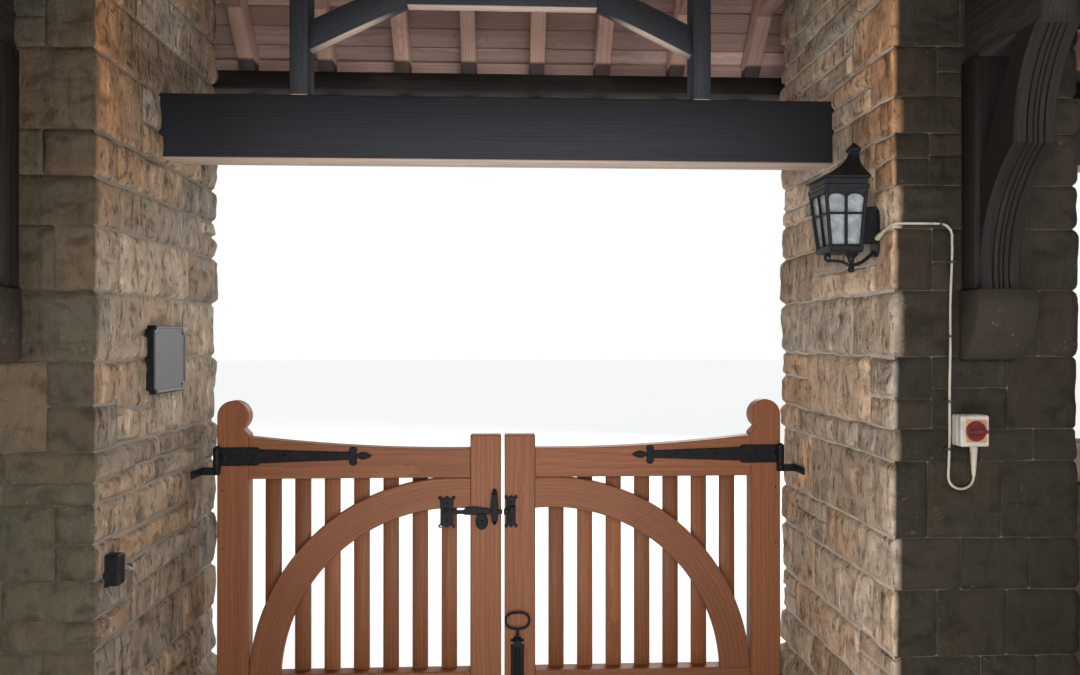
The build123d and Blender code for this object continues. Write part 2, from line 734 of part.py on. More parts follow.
# Gate leaves
picket_gap = (leaf_stile_inner - leaf_meet_inner - picket_count * picket_width) / (picket_count + 1)
stile_centre = leaf_outer - stile_width / 2
bay_centre_x = (leaf_stile_inner + leaf_meet_inner) / 2
bay_width = leaf_stile_inner - leaf_meet_inner
bay_height = top_rail_underside - bottom_rail_top
for side_name, side in (("left", -1), ("right", 1)):
    with BuildPart() as stiles:
        with BuildSketch(wall_plane(gate_inner_face)):
            with Locations((side * stile_centre, (stile_foot + shoulder_height) / 2)):
                Rectangle(stile_width, shoulder_height - stile_foot)
            with BuildLine():
                Polyline(
                    (side * leaf_outer, shoulder_height),
                    (side * leaf_outer, ball_height),
                    (side * stile_centre, ball_height),
                    (side * (leaf_outer - neck_width), shoulder_height + neck_notch_rise),
                    (side * leaf_stile_inner, shoulder_height + neck_notch_rise - neck_notch_drop),
                    (side * leaf_stile_inner, shoulder_height),
                    close=True,
                )
            make_face()
            with Locations((side * stile_centre, ball_height)):
                Circle(ball_radius)
            with Locations((side * (leaf_meeting + stile_width / 2), (stile_foot + meeting_stile_top) / 2)):
                Rectangle(stile_width, meeting_stile_top - stile_foot)
        extrude(amount=-leaf_thickness)
    save(stiles, f"{side_name}_gate_stiles")

    with BuildPart() as rails:
        with BuildSketch(wall_plane(gate_inner_face)):
            with BuildLine():
                Polyline(
                    (side * leaf_meet_inner, top_rail_low),
                    (side * leaf_meet_inner, top_rail_underside),
                    (side * leaf_stile_inner, top_rail_underside),
                    (side * leaf_stile_inner, shoulder_height),
                )
                ThreePointArc(
                    (side * leaf_stile_inner, shoulder_height),
                    (side * bay_centre_x, (shoulder_height + top_rail_low) / 2 - top_rail_sag),
                    (side * leaf_meet_inner, top_rail_low),
                )
            make_face()
            with Locations((side * bay_centre_x, (bottom_rail_foot + bottom_rail_top) / 2)):
                Rectangle(bay_width, bottom_rail_top - bottom_rail_foot)
        extrude(amount=-leaf_thickness)
    save(rails, f"{side_name}_gate_rails")

    with BuildPart() as arch_brace:
        with BuildSketch(wall_plane(gate_inner_face)):
            with Locations((side * arch_centre_x, arch_centre_z)):
                Circle(arch_outer_radius)
                Circle(arch_outer_radius - arch_width, mode=Mode.SUBTRACT)
            with Locations((side * bay_centre_x, (bottom_rail_top + top_rail_underside) / 2)):
                Rectangle(bay_width, bay_height, mode=Mode.INTERSECT)
        extrude(amount=-arch_thickness)
    save(arch_brace, f"{side_name}_gate_arch_brace")

    with BuildPart() as pickets:
        with BuildSketch(wall_plane(gate_inner_face + arch_thickness)):
            with Locations((side * bay_centre_x, (bottom_rail_top + top_rail_underside) / 2)):
                with GridLocations(picket_width + picket_gap, 0, picket_count, 1):
                    Rectangle(picket_width, bay_height)
        extrude(amount=-picket_thickness)
    save(pickets, f"{side_name}_gate_pickets")

    # Strap hinges: a cuff round the stile, a tapered strap with two lobes, and an eye
    with BuildPart() as straps:
        for strap_z in strap_heights:
            with BuildSketch(wall_plane(gate_inner_face)):
                with BuildLine():
                    Polyline(
                        (side * (leaf_outer + cuff_thickness), strap_z - cuff_height / 2),
                        (side * (leaf_outer + cuff_thickness), strap_z + cuff_height / 2),
                        (side * (leaf_outer - cuff_length), strap_z + cuff_height / 2),
                        (side * (leaf_outer - cuff_length), strap_z + strap_start_height / 2),
                        (side * strap_neck_x, strap_z + strap_end_height / 2),
                        (side * strap_tip_x, strap_z),
                        (side * strap_neck_x, strap_z - strap_end_height / 2),
                        (side * (leaf_outer - cuff_length), strap_z - strap_start_height / 2),
                        (side * (leaf_outer - cuff_length), strap_z - cuff_height / 2),
                        close=True,
                    )
                make_face()
                with Locations(
                    (side * strap_lobe_x, strap_z + strap_end_height / 2 + strap_lobe_radius / 2),
                    (side * strap_lobe_x, strap_z - strap_end_height / 2 - strap_lobe_radius / 2),
                ):
                    Circle(strap_lobe_radius)
            extrude(amount=strap_thickness)
            with BuildSketch(Plane.XY.offset(strap_z - cuff_height / 2)):
                with Locations((side * (leaf_outer + cuff_thickness / 2), gate_inner_face + leaf_thickness / 2)):
                    Rectangle(cuff_thickness, leaf_thickness)
                with Locations(
                    (side * (leaf_outer + cuff_thickness - cuff_length / 2), leaf_back + cuff_thickness / 2)
                ):
                    Rectangle(cuff_length, cuff_thickness)
            extrude(amount=cuff_height)
            with BuildSketch(Plane.XY.offset(strap_z - eye_height / 2)):
                with Locations((side * pin_x, pin_y)):
                    Circle(eye_radius)
            extrude(amount=eye_height)
            with BuildSketch(Plane.XY.offset(strap_z - eye_height / 2)):
                with Locations((side * pin_x, pin_y)):
                    Circle(pin_radius + running_clearance)
            extrude(amount=eye_height, mode=Mode.SUBTRACT)
    save(straps, f"{side_name}_strap_hinges")

    # Pintles: a pin on a flat bracket that runs to the reveal and back along it
    with BuildPart() as pintles:
        for strap_z in strap_heights:
            seat_x = half_opening - (plinth_projection if strap_z < plinth_height else 0)
            bracket_top = strap_z - eye_height / 2 - seat_gap
            with BuildSketch(Plane.XY.offset(bracket_top - bracket_height)):
                with Locations((side * pin_x, pin_y)):
                    Circle(eye_radius)
                with Locations((side * (pin_x + seat_x) / 2, pin_y)):
                    Rectangle(seat_x - pin_x, bracket_width)
                with Locations(
                    (
                        side * (seat_x - bracket_plate_thickness / 2),
                        pin_y + bracket_width / 2 - bracket_plate_length / 2,
                    )
                ):
                    Rectangle(bracket_plate_thickness, bracket_plate_length)
            extrude(amount=bracket_height)
            with BuildSketch(Plane.XY.offset(bracket_top)):
                with Locations((side * pin_x, pin_y)):
                    Circle(pin_radius)
            extrude(amount=seat_gap + eye_height + pin_rise)
    save(pintles, f"{side_name}_pintles")

# Latch on the left leaf: pivot plate, guide staple, and the bar with its round knob
staple_leg_top = latch_height - latch_bar_height / 2 - seat_gap
with BuildPart() as latch_plates:
    with BuildSketch(wall_plane(gate_inner_face)):
        with Locations((-latch_pivot_x, latch_height)):
            RectangleRounded(latch_plate_width, latch_plate_height, 8)
    extrude(amount=latch_plate_thickness)
    with BuildSketch(wall_plane(gate_inner_face - latch_plate_thickness)):
        with Locations((-latch_pivot_x, latch_height)):
            Circle(pivot_radius)
    extrude(amount=latch_bar_thickness + seat_gap + pin_rise)
    with BuildSketch(wall_plane(gate_inner_face)):
        with Locations((-staple_x, (staple_foot + staple_leg_top) / 2)):
            Rectangle(staple_width, staple_leg_top - staple_foot)
        with Locations((-staple_x, staple_top - staple_leg_depth / 2)):
            Rectangle(staple_width, staple_leg_depth)
    extrude(amount=staple_bow)
    with BuildSketch(wall_plane(gate_inner_face - staple_bow + staple_thickness)):
        with Locations((-staple_x, (staple_top + staple_foot) / 2)):
            Rectangle(staple_width, staple_top - staple_foot)
    extrude(amount=staple_thickness)
save(latch_plates, "latch_plates")

latch_end = -(leaf_meeting - meeting_gap + latch_end_clearance)
bar_front = gate_inner_face - latch_plate_thickness - seat_gap
with BuildPart() as latch_bar:
    with BuildSketch(wall_plane(bar_front)):
        with Locations((-latch_pivot_x, latch_height)):
            Circle(latch_bar_height * 0.7)
        with Locations(((latch_end - latch_pivot_x) / 2, latch_height)):
            Rectangle(latch_pivot_x + latch_end, latch_bar_height)
        with Locations((-knob_x, latch_height - latch_bar_height)):
            Rectangle(latch_bar_height, knob_drop)
    extrude(amount=latch_bar_thickness)
    with BuildSketch(wall_plane(bar_front)):
        with Locations((-knob_x, latch_height - knob_drop)):
            Circle(knob_radius)
    extrude(amount=knob_depth)
    with BuildSketch(wall_plane(bar_front)):
        with Locations((-latch_pivot_x, latch_height)):
            Circle(pivot_radius + running_clearance)
    extrude(amount=latch_bar_thickness, mode=Mode.SUBTRACT)
save(latch_bar, "latch_bar")

# Keeper on the right leaf
with BuildPart() as latch_keeper:
    with BuildSketch(wall_plane(gate_inner_face)):
        with Locations((keeper_left + keeper_width / 2, latch_height)):
            RectangleRounded(keeper_width, keeper_height, 8)
    extrude(amount=latch_plate_thickness)
    with BuildSketch(wall_plane(gate_inner_face - latch_plate_thickness)):
        with Locations((keeper_left + keeper_width / 2, latch_height)):
            Rectangle(bracket_width, 2 * latch_bar_height)
    extrude(amount=staple_bow - latch_plate_thickness)
save(latch_keeper, "latch_keeper")

# Drop bolt on the right leaf, with its back plate and two guide blocks
bolt_y = gate_inner_face - bolt_setback
block_depth = bolt_setback + bolt_radius + 6

with BuildPart() as bolt_guide:
    with BuildSketch(wall_plane(gate_inner_face)):
        with Locations((bolt_x, bolt_plate_top - bolt_plate_height / 2)):
            Rectangle(bolt_plate_width, bolt_plate_height)
    extrude(amount=latch_plate_thickness)
    with BuildSketch(wall_plane(gate_inner_face)):
        with Locations(
            (bolt_x, bolt_plate_top - bolt_block_height / 2),
            (bolt_x, bolt_plate_top - bolt_plate_height + bolt_block_height / 2),
        ):
            Rectangle(bolt_block_width, bolt_block_height)
    extrude(amount=block_depth)
    with BuildSketch(Plane.XY.offset(bolt_plate_top - bolt_plate_height)):
        with Locations((bolt_x, bolt_y)):
            Circle(bolt_radius + running_clearance)
    extrude(amount=bolt_plate_height, mode=Mode.SUBTRACT)
save(bolt_guide, "bolt_guide")

with BuildPart() as drop_bolt:
    with BuildSketch(Plane.XY.offset(bolt_tip)):
        with Locations((bolt_x, bolt_y)):
            Circle(bolt_radius)
    extrude(amount=bolt_top + bolt_ring_wire / 2 - bolt_tip)
    with BuildSketch(Plane.XY.offset(bolt_plate_top + seat_gap)):
        with Locations((bolt_x, bolt_y)):
            Circle(bolt_collar_radius)
    extrude(amount=bolt_collar_height)
    with BuildSketch(wall_plane(bolt_y + bolt_ring_wire / 2)):
        with Locations((bolt_x, bolt_top + bolt_ring_height / 2)):
            Ellipse(bolt_ring_width / 2, bolt_ring_height / 2)
            Ellipse(bolt_ring_width / 2 - bolt_ring_wire, bolt_ring_height / 2 - bolt_ring_wire, mode=Mode.SUBTRACT)
    extrude(amount=bolt_ring_wire)
save(drop_bolt, "drop_bolt")

# Lantern on the right reveal
lantern_mid = (lantern_base + lantern_glass_top) / 2
with BuildPart() as lantern_frame:
    with BuildSketch(Plane.XY.offset(lantern_base)):
        with Locations((lantern_x, lantern_y)):
            RegularPolygon(lantern_base_radius, 6)
    with BuildSketch(Plane.XY.offset(lantern_glass_top)):
        with Locations((lantern_x, lantern_y)):
            RegularPolygon(lantern_top_radius, 6)
    loft()
    with BuildSketch(Plane.XY.offset(lantern_base)):
        with Locations((lantern_x, lantern_y)):
            RegularPolygon(lantern_base_radius - lantern_wall, 6)
    with BuildSketch(Plane.XY.offset(lantern_glass_top)):
        with Locations((lantern_x, lantern_y)):
            RegularPolygon(lantern_top_radius - lantern_wall, 6)
    loft(mode=Mode.SUBTRACT)
    with Locations((lantern_x, lantern_y, lantern_mid)):
        with PolarLocations(0, 6, start_angle=30):
            Box(
                4 * lantern_top_radius,
                lantern_base_radius * 0.62,
                lantern_glass_top - lantern_base - 30,
                align=(Align.MIN, Align.CENTER, Align.CENTER),
                mode=Mode.SUBTRACT,
            )
    with BuildSketch(Plane.XY.offset(lantern_glass_top)):
        with Locations((lantern_x, lantern_y)):
            RegularPolygon(lantern_top_radius + lantern_wall, 6)
    extrude(amount=lantern_roof_foot - lantern_glass_top)
    with BuildSketch(Plane.XY.offset(lantern_roof_foot)):
        with Locations((lantern_x, lantern_y)):
            RegularPolygon(lantern_roof_radius, 6)
    with BuildSketch(Plane.XY.offset(lantern_roof_top)):
        with Locations((lantern_x, lantern_y)):
            RegularPolygon(lantern_wall * 2, 6)
    loft()
    with Locations((lantern_x, lantern_y, lantern_roof_top + 8)):
        Sphere(13)
    with BuildSketch(Plane.XY.offset(lantern_base - 10)):
        with Locations((lantern_x, lantern_y)):
            RegularPolygon(lantern_base_radius, 6)
    extrude(amount=10)
    with BuildSketch(Plane.XY.offset(lantern_base - 40)):
        with Locations((lantern_x, lantern_y)):
            Circle(8)
    extrude(amount=30)
    with BuildSketch(Plane.XZ.offset(-lantern_y)):
        with Locations(((lantern_x + half_opening) / 2, lantern_base - 34)):
            Rectangle(half_opening - lantern_x, 14)
        with Locations((half_opening - 4, lantern_base)):
            Rectangle(8, lantern_plate_height)
    extrude(amount=6, both=True)
    with BuildSketch(Plane.YZ.offset(half_opening - 8)):
        with Locations((lantern_y, lantern_base)):
            RectangleRounded(lantern_plate_width, lantern_plate_height, 20)
    extrude(amount=8)
save(lantern_frame, "lantern_frame")

with BuildPart() as lantern_panes:
    with BuildSketch(Plane.XY.offset(lantern_base)):
        with Locations((lantern_x, lantern_y)):
            RegularPolygon(lantern_base_radius - lantern_wall - 0.5, 6)
    with BuildSketch(Plane.XY.offset(lantern_glass_top)):
        with Locations((lantern_x, lantern_y)):
            RegularPolygon(lantern_top_radius - lantern_wall - 0.5, 6)
    loft()
save(lantern_panes, "lantern_panes")

# Lighting cable, clipped round the arris and down to the switch
cable_x = half_opening - cable_radius - cable_stand
cable_y = wall_inner - cable_radius - cable_stand
gland_z = isolator_z - isolator_height / 2
with BuildPart() as lighting_cable:
    with BuildLine() as cable_path:
        FilletPolyline(
            (cable_x, lantern_y - lantern_plate_width / 2, cable_height - cable_start_drop),
            (cable_x, cable_y, cable_height),
            (half_opening + cable_drop_inset / 2, cable_y, cable_height),
            radius=cable_bend,
        )
        FilletPolyline(
            (half_opening + cable_drop_inset / 2, cable_y, cable_height),
            (cable_drop_x, cable_y, cable_height),
            (cable_drop_x - cable_lean, cable_y, cable_loop_bottom),
            (isolator_x + gland_offset, cable_y, cable_loop_bottom),
            (isolator_x + gland_offset, cable_y, gland_z),
            radius=cable_wide_bend,
        )
    with BuildSketch(Plane(cable_path.line @ 0, z_dir=cable_path.line % 0)):
        Circle(cable_radius)
    sweep()
save(lighting_cable, "lighting_cable")

# Rotary isolator on the near face of the right pier
with BuildPart() as isolator_box:
    with BuildSketch(wall_plane(wall_inner)):
        with Locations((isolator_x, isolator_z)):
            RectangleRounded(isolator_width, isolator_height, 6)
    extrude(amount=isolator_depth)
save(isolator_box, "isolator_box")

with BuildPart() as isolator_knob:
    with BuildSketch(wall_plane(wall_inner - isolator_depth)):
        with Locations((isolator_x, isolator_z)):
            Circle(knob_plate_radius)
    extrude(amount=10)
    with BuildSketch(wall_plane(wall_inner - isolator_depth - 10)):
        with Locations((isolator_x, isolator_z)):
            Rectangle(knob_plate_radius * 1.8, 14)
    extrude(amount=14)
save(isolator_knob, "isolator_knob")

# Plaque on the left reveal
with BuildPart() as plaque:
    with BuildSketch(Plane.YZ.offset(-half_opening)):
        with Locations((plaque_y, plaque_z)):
            RectangleRounded(plaque_width, plaque_height, 14)
    extrude(amount=plaque_depth)
save(plaque, "plaque")

# Hold-back catch on the left reveal: a block with a curved arm
catch_arm_x = -half_opening + catch_depth / 2
catch_arm_y = catch_y + catch_width - catch_arm_radius
catch_arm_out = catch_arm_reach - catch_arm_radius - catch_depth / 2
with BuildPart() as gate_catch:
    with BuildSketch(Plane.YZ.offset(-half_opening)):
        with Locations((catch_y + catch_width / 2, catch_z)):
            RectangleRounded(catch_width, catch_height, 6)
    extrude(amount=catch_depth)
    with BuildLine() as catch_arm:
        ThreePointArc(
            (catch_arm_x, catch_arm_y, catch_z),
            (catch_arm_x + 0.6 * catch_arm_out, catch_arm_y + 0.6 * catch_arm_run, catch_z - 0.25 * catch_arm_drop),
            (catch_arm_x + catch_arm_out, catch_arm_y + catch_arm_run, catch_z - catch_arm_drop),
        )
    with BuildSketch(Plane(catch_arm.line @ 0, z_dir=catch_arm.line % 0)):
        Circle(catch_arm_radius)
    sweep()
save(gate_catch, "gate_catch")
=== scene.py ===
import math
import bpy
import numpy as np
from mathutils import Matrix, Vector


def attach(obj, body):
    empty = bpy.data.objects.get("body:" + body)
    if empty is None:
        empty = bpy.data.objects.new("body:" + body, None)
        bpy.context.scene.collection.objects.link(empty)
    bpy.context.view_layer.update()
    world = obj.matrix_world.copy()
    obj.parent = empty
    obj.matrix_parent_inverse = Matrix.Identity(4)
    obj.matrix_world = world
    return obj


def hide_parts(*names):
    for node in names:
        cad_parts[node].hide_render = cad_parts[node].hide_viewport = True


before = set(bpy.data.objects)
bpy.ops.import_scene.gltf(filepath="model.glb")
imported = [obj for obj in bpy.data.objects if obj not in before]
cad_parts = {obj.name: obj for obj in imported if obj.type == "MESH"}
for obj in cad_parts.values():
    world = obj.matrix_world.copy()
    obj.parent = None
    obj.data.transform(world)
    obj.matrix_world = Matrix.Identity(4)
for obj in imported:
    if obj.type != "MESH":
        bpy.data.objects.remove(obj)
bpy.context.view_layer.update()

print("lychgate: frame loaded")

# main sizes in metres, the same as in the solids
place = {
    "wallInner": 1.2, "wallOuter": 2.14, "halfOpening": 1.15, "pierOuter": 1.7, "endInner": 2.6,
    "endOuter": 3.15,
    "trussX": 1.425, "gableX": 2.875, "halfBeam": 0.059, "beamUnder": 2.334, "beamTop": 2.59, "beamEnd": 2.46,
    "hammerEnd": 0.828, "hammerBack": 0.928, "frameFront": 1.641, "plateInner": 2.35, "plateTop": 2.665,
    "plateEnd": 3.272, "eavesY": 2.54, "pitch": 48.2, "rafterDepth": 0.1, "roofSkin": 0.06, "roofHalf": 3.31,
    "ridgeHalf": 0.02, "tieUnder": 2.86, "gateFace": 2.028, "hingeY": 2.008,
}
roofSlope = math.tan(math.radians(place["pitch"]))
roofCos = math.cos(math.radians(place["pitch"]))
roofSin = math.sin(math.radians(place["pitch"]))
rafterRise = place["rafterDepth"] / roofCos
skinRise = place["roofSkin"] / roofCos
alongX, alongY, alongZ = (1, 0, 0), (0, 1, 0), (0, 0, 1)
leftAndRight = (("left", -1), ("right", 1))


def rafterLine(y):  # underside of the rafters at a distance y from the ridge
    return place["plateTop"] + (place["plateInner"] - abs(y)) * roofSlope


def nodeOf(name):  # frontTieBeam is the node front_tie_beam
    return "".join("_" + letter.lower() if letter.isupper() else letter for letter in name)


def unit(vectors):
    return vectors / np.linalg.norm(vectors, axis=-1, keepdims=True)


# meshes from arrays
def putMesh(name, points, faceSets, finish, slot, body="structure", nodes=None, smooth=None, layers=None):
    # points (n, 3) and sets of faces (m, k), one for each count of corners; layers are values at the points;
    # the piece stands for the nodes given, or else for the node that has its own name
    faceSets = [np.asarray(item, dtype=np.int32) for item in faceSets if len(item)]
    corners = np.concatenate([item.ravel() for item in faceSets])
    sizes = np.concatenate([np.full(len(item), item.shape[1], dtype=np.int32) for item in faceSets])
    mesh = bpy.data.meshes.new(name)
    mesh.vertices.add(len(points))
    mesh.vertices.foreach_set("co", np.ascontiguousarray(points, dtype=np.float32).ravel())
    mesh.loops.add(len(corners))
    mesh.loops.foreach_set("vertex_index", corners)
    mesh.polygons.add(len(sizes))
    mesh.polygons.foreach_set("loop_start", np.concatenate([[0], np.cumsum(sizes)[:-1]]).astype(np.int32))
    mesh.update(calc_edges=True)
    for key, data in (layers or {}).items():
        data = np.asarray(data, dtype=np.float32)
        kind, field = ("FLOAT", "value") if data.ndim == 1 else ("FLOAT_VECTOR", "vector")
        if key.endswith("Tone"):
            kind, field = "FLOAT_COLOR", "color"
            data = np.concatenate([data, np.ones((len(data), 1), dtype=np.float32)], axis=1)
        mesh.attributes.new(key, kind, "POINT").data.foreach_set(field, data.ravel())
    if smooth is not None:
        mesh.polygons.foreach_set("use_smooth", np.ones(len(sizes), dtype=bool))
        if smooth < 180:
            mesh.set_sharp_from_angle(angle=math.radians(smooth))
    piece = bpy.data.objects.new(name, mesh)
    bpy.context.scene.collection.objects.link(piece)
    mesh.materials.append(finish)
    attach(piece, body)
    nodes = [nodeOf(name)] if nodes is None else nodes
    if nodes:
        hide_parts(*nodes)


def joinParts(parts):
    # each part is {points, faces, grain, tone}; face numbers are shifted by the points before them
    shift = np.cumsum([0] + [len(part["points"]) for part in parts])
    bySize = {}
    for part, start in zip(parts, shift):
        for item in part["faces"]:
            if len(item):
                bySize.setdefault(item.shape[1], []).append(item + start)
    whole = {key: np.concatenate([part[key] for part in parts]) for key in ("points", "grain", "tone")}
    return {**whole, "faces": [np.concatenate(items) for items in bySize.values()]}


def putTimber(name, parts, finish, slot=None, **where):
    whole = joinParts(parts)
    putMesh(name, whole["points"], whole["faces"], finish, slot or timberSlots[finish.name],
            layers={"grainCoord": whole["grain"], "toneShift": whole["tone"]}, **where)


def grainOf(points, direction, rng):
    # a piece's own coordinates, its length first, moved at random so that no two pieces are cut from one log
    direction = unit(np.asarray(direction, float))
    across = unit(np.cross(alongZ if abs(direction[2]) < 0.8 else alongY, direction))
    local = (points - points.mean(axis=0)) @ np.stack([direction, across, np.cross(direction, across)]).T
    return local + np.array([rng.uniform(-9, 9), rng.uniform(-0.16, 0.16), rng.uniform(0.03, 0.12)])


def makeBlockPattern():
    # a box with worn arrises: at each corner one point for each axis, then six sides, twelve strips, eight
    # triangles;
    # a corner's number is the sum of 1, 2 and 4 for the axes on which it is high
    signs = (np.arange(8)[:, None] >> np.arange(3) & 1) * 2 - 1
    full = np.repeat(signs[:, None], 3, axis=1).astype(float)
    inset = -full * (1 - np.eye(3))
    quads = []
    for axis in range(3):
        first, second = [a for a in range(3) if a != axis]
        u, v, far = 1 << first, 1 << second, 1 << axis
        quads += [[3 * (side + step) + axis for step in (0, u, u + v, v)] for side in (0, far)]
        quads += [[3 * c + first, 3 * (c + far) + first, 3 * (c + far) + second, 3 * c + second]
                  for c in (0, v, u, u + v)]

    def outward(faces):
        a, b, c = (trial[faces[:, k]] for k in range(3))
        flip = (np.cross(b - a, c - a) * trial[faces].mean(axis=1)).sum(axis=1) < 0
        return np.where(flip[:, None], faces[:, ::-1], faces)
    trial = (full + 0.2 * inset).reshape(-1, 3)
    return (full.reshape(-1, 3), inset.reshape(-1, 3), outward(np.array(quads)),
            outward(np.arange(24).reshape(8, 3)))


blockFull, blockInset, blockQuads, blockTris = makeBlockPattern()


def blocks(lows, highs, direction, rng, wear=0.003, turn=np.eye(3), origin=(0, 0, 0)):
    # many boxes at once: centre + half size * corner sign, less the wear on the other two axes
    lows, highs = np.atleast_2d(lows).astype(float), np.atleast_2d(highs).astype(float)
    half, centre, count = (highs - lows) / 2, (highs + lows) / 2, len(lows)
    local = half[:, None, :] * blockFull[None] + wear * blockInset[None]
    axis = int(np.argmax(np.abs(direction)))
    order = [axis] + [a for a in range(3) if a != axis]
    offset = np.stack([rng.uniform(-9, 9, count), rng.uniform(-0.16, 0.16, count),
                       rng.uniform(0.03, 0.12, count)], axis=1)
    shift = (np.arange(count) * 24)[:, None, None]
    return {"points": (local + centre[:, None, :]).reshape(-1, 3) @ turn + np.asarray(origin, float),
            "faces": [(blockQuads[None] + shift).reshape(-1, 4), (blockTris[None] + shift).reshape(-1, 3)],
            "grain": (local[:, :, order] + offset[:, None, :]).reshape(-1, 3),
            "tone": np.repeat(rng.uniform(-1, 1, count), 24)}


def mirrored(low, high, *signs):
    # the same boxes on one or both sides of the ridge and the passage: low and high change places where a
    # sign turns them
    ends = np.array([low, high], float)[:, None] * np.array(signs, float)[None]
    return ends.min(axis=0).reshape(-1, 3), ends.max(axis=0).reshape(-1, 3)


fourCorners = tuple((sx, sy, 1) for sx in (-1, 1) for sy in (-1, 1))


def insetOutline(outline, amount):
    # each corner moves inwards along its mitre, so that every side moves by the same amount
    before, after = outline - np.roll(outline, 1, axis=0), np.roll(outline, -1, axis=0) - outline
    n1, n2 = (unit(np.stack([-edge[:, 1], edge[:, 0]], axis=1)) for edge in (before, after))
    mitre = n1 + n2
    return outline + mitre / np.maximum((mitre * n1).sum(axis=1), 0.35)[:, None] * amount


def gridSurface(grid, closeU=False, closeV=False):
    # quads over a grid of points (rows, columns, 3), with the last column or row joined to the first where
    # asked
    rows, cols = grid.shape[:2]
    i, j = np.meshgrid(np.arange(rows if closeV else rows - 1), np.arange(cols if closeU else cols - 1),
                       indexing="ij")
    i2, j2 = (i + 1) % rows, (j + 1) % cols
    return np.stack([i * cols + j, i * cols + j2, i2 * cols + j2, i2 * cols + j], axis=-1).reshape(-1, 4)


def ringFaces(rings, closed=False, flip=False):
    # the skin over rows of rings, with both ends shut unless the last ring joins the first
    rows, cols = rings.shape[:2]
    faces = [gridSurface(rings, closeU=True, closeV=closed)]
    if not closed:
        faces.append(np.stack([np.arange(cols)[::-1], np.arange(cols) + (rows - 1) * cols]))
    return [item[:, ::-1] for item in faces] if flip else faces


def profileBar(outline, axis, low, high, direction, rng, wear=0.003):
    # a closed outline carried along an axis, drawn in by the wear at both ends so that the arrises catch the
    # light
    outline = np.asarray(outline, float)
    if (outline[:, 0] * np.roll(outline[:, 1], -1) - outline[:, 1] * np.roll(outline[:, 0], -1)).sum() < 0:
        outline = outline[::-1]
    inner = insetOutline(outline, wear)
    rings = np.zeros((4, len(outline), 3))
    plane = [a for a in range(3) if a != axis]  # across Y it is X, Z, which turns the other way
    for ring, flat, level in zip(rings, (inner, outline, outline, inner), (low, low + wear, high - wear, high)):
        ring[:, plane], ring[:, axis] = flat, level
    points, shift = rings.reshape(-1, 3), rng.uniform(-1, 1)
    return {"points": points, "faces": ringFaces(rings, flip=axis == 1),
            "grain": grainOf(points, direction, rng),
            "tone": np.full(len(points), shift)}


def fourParts(part, rng, signs=fourCorners):
    # the part turned over in the planes named by the signs, its faces kept outwards and its grain moved
    copies = []
    for sign in signs:
        move = np.array([rng.uniform(-5, 5), rng.uniform(-0.1, 0.1), 0])
        faces = [item[:, ::-1] for item in part["faces"]] if np.prod(sign) < 0 else part["faces"]
        copies.append({"points": part["points"] * np.asarray(sign, float), "faces": faces,
                       "grain": part["grain"] + move,
                       "tone": np.clip(part["tone"] + rng.uniform(-0.6, 0.6), -1, 1)})
    return copies


def asPart(points, faces):
    points = points.reshape(-1, 3)
    return {"points": points, "faces": faces, "grain": grainOf(points, alongZ, np.random.default_rng(3)),
            "tone": np.zeros(len(points))}


def latheTurn(profile, centre, axis, sides=24):
    # radius and height pairs turned round an axis, with a point in the middle of each end
    profile = np.asarray(profile, float)
    angle = np.arange(sides) * 2 * math.pi / sides
    rings, poles = np.zeros((len(profile), sides, 3)), np.zeros((2, 3))
    rings[:, :, (axis + 1) % 3] = profile[:, :1] * np.cos(angle)
    rings[:, :, (axis + 2) % 3] = profile[:, :1] * np.sin(angle)
    rings[:, :, axis], poles[:, axis] = profile[:, 1:], profile[[0, -1], 1]
    here, last = np.arange(sides), (len(profile) - 1) * sides
    count = last + sides
    low = np.stack([np.full(sides, count), np.roll(here, -1), here], axis=1)
    high = np.stack([np.full(sides, count + 1), here + last, np.roll(here, -1) + last], axis=1)
    faces = [gridSurface(rings, closeU=True), np.concatenate([low, high])]
    if profile[-1, 1] < profile[0, 1]:
        faces = [item[:, ::-1] for item in faces]
    return asPart(np.concatenate([rings.reshape(-1, 3), poles]) + np.asarray(centre, float), faces)


def roundRings(path, radius, sides, across, other):
    # a circle round each point of a path, spanned by two directions
    angle = (np.arange(sides) * 2 * math.pi / sides)[None, :, None]
    radius = np.broadcast_to(radius, len(path))[:, None, None]
    return path[:, None] + radius * (np.cos(angle) * across[:, None] + np.sin(angle) * other[:, None])


def sweptRod(path, radius, sides=12, up=alongY, closed=False):
    # a round section carried along a path that lies in one plane; up is the plane's normal
    path, up = np.asarray(path, float), np.asarray(up, float)[None]
    tangent = np.roll(path, -1, axis=0) - np.roll(path, 1, axis=0)
    if not closed:
        tangent[0], tangent[-1] = path[1] - path[0], path[-1] - path[-2]
    rings = roundRings(path, radius, sides, unit(np.cross(up, unit(tangent))), up)
    return asPart(rings, ringFaces(rings, closed))


# smooth random surfaces
def latticeNoise(x, y, z, seed):
    # noise from -1 to 1: a hashed value at each whole-number corner, blended by 3t^2 - 2t^3 on each axis
    cell = [np.floor(a).astype(np.int64) for a in (x, y, z)]
    share = [(a - c) ** 2 * (3 - 2 * (a - c)) for a, c in zip((x, y, z), cell)]
    primes = (374761393, 668265263, 982451653)
    total = 0
    for corner in range(8):
        step = [corner >> axis & 1 for axis in range(3)]
        h = sum((c + s) * prime for c, s, prime in zip(cell, step, primes)) + seed * 69069
        h = (h ^ (h >> 13)) * 1274126177
        h = h ^ (h >> 16)
        weight = math.prod(t if s else 1 - t for t, s in zip(share, step))
        total = total + weight * ((h & 65535) / 32767.5 - 1)
    return total


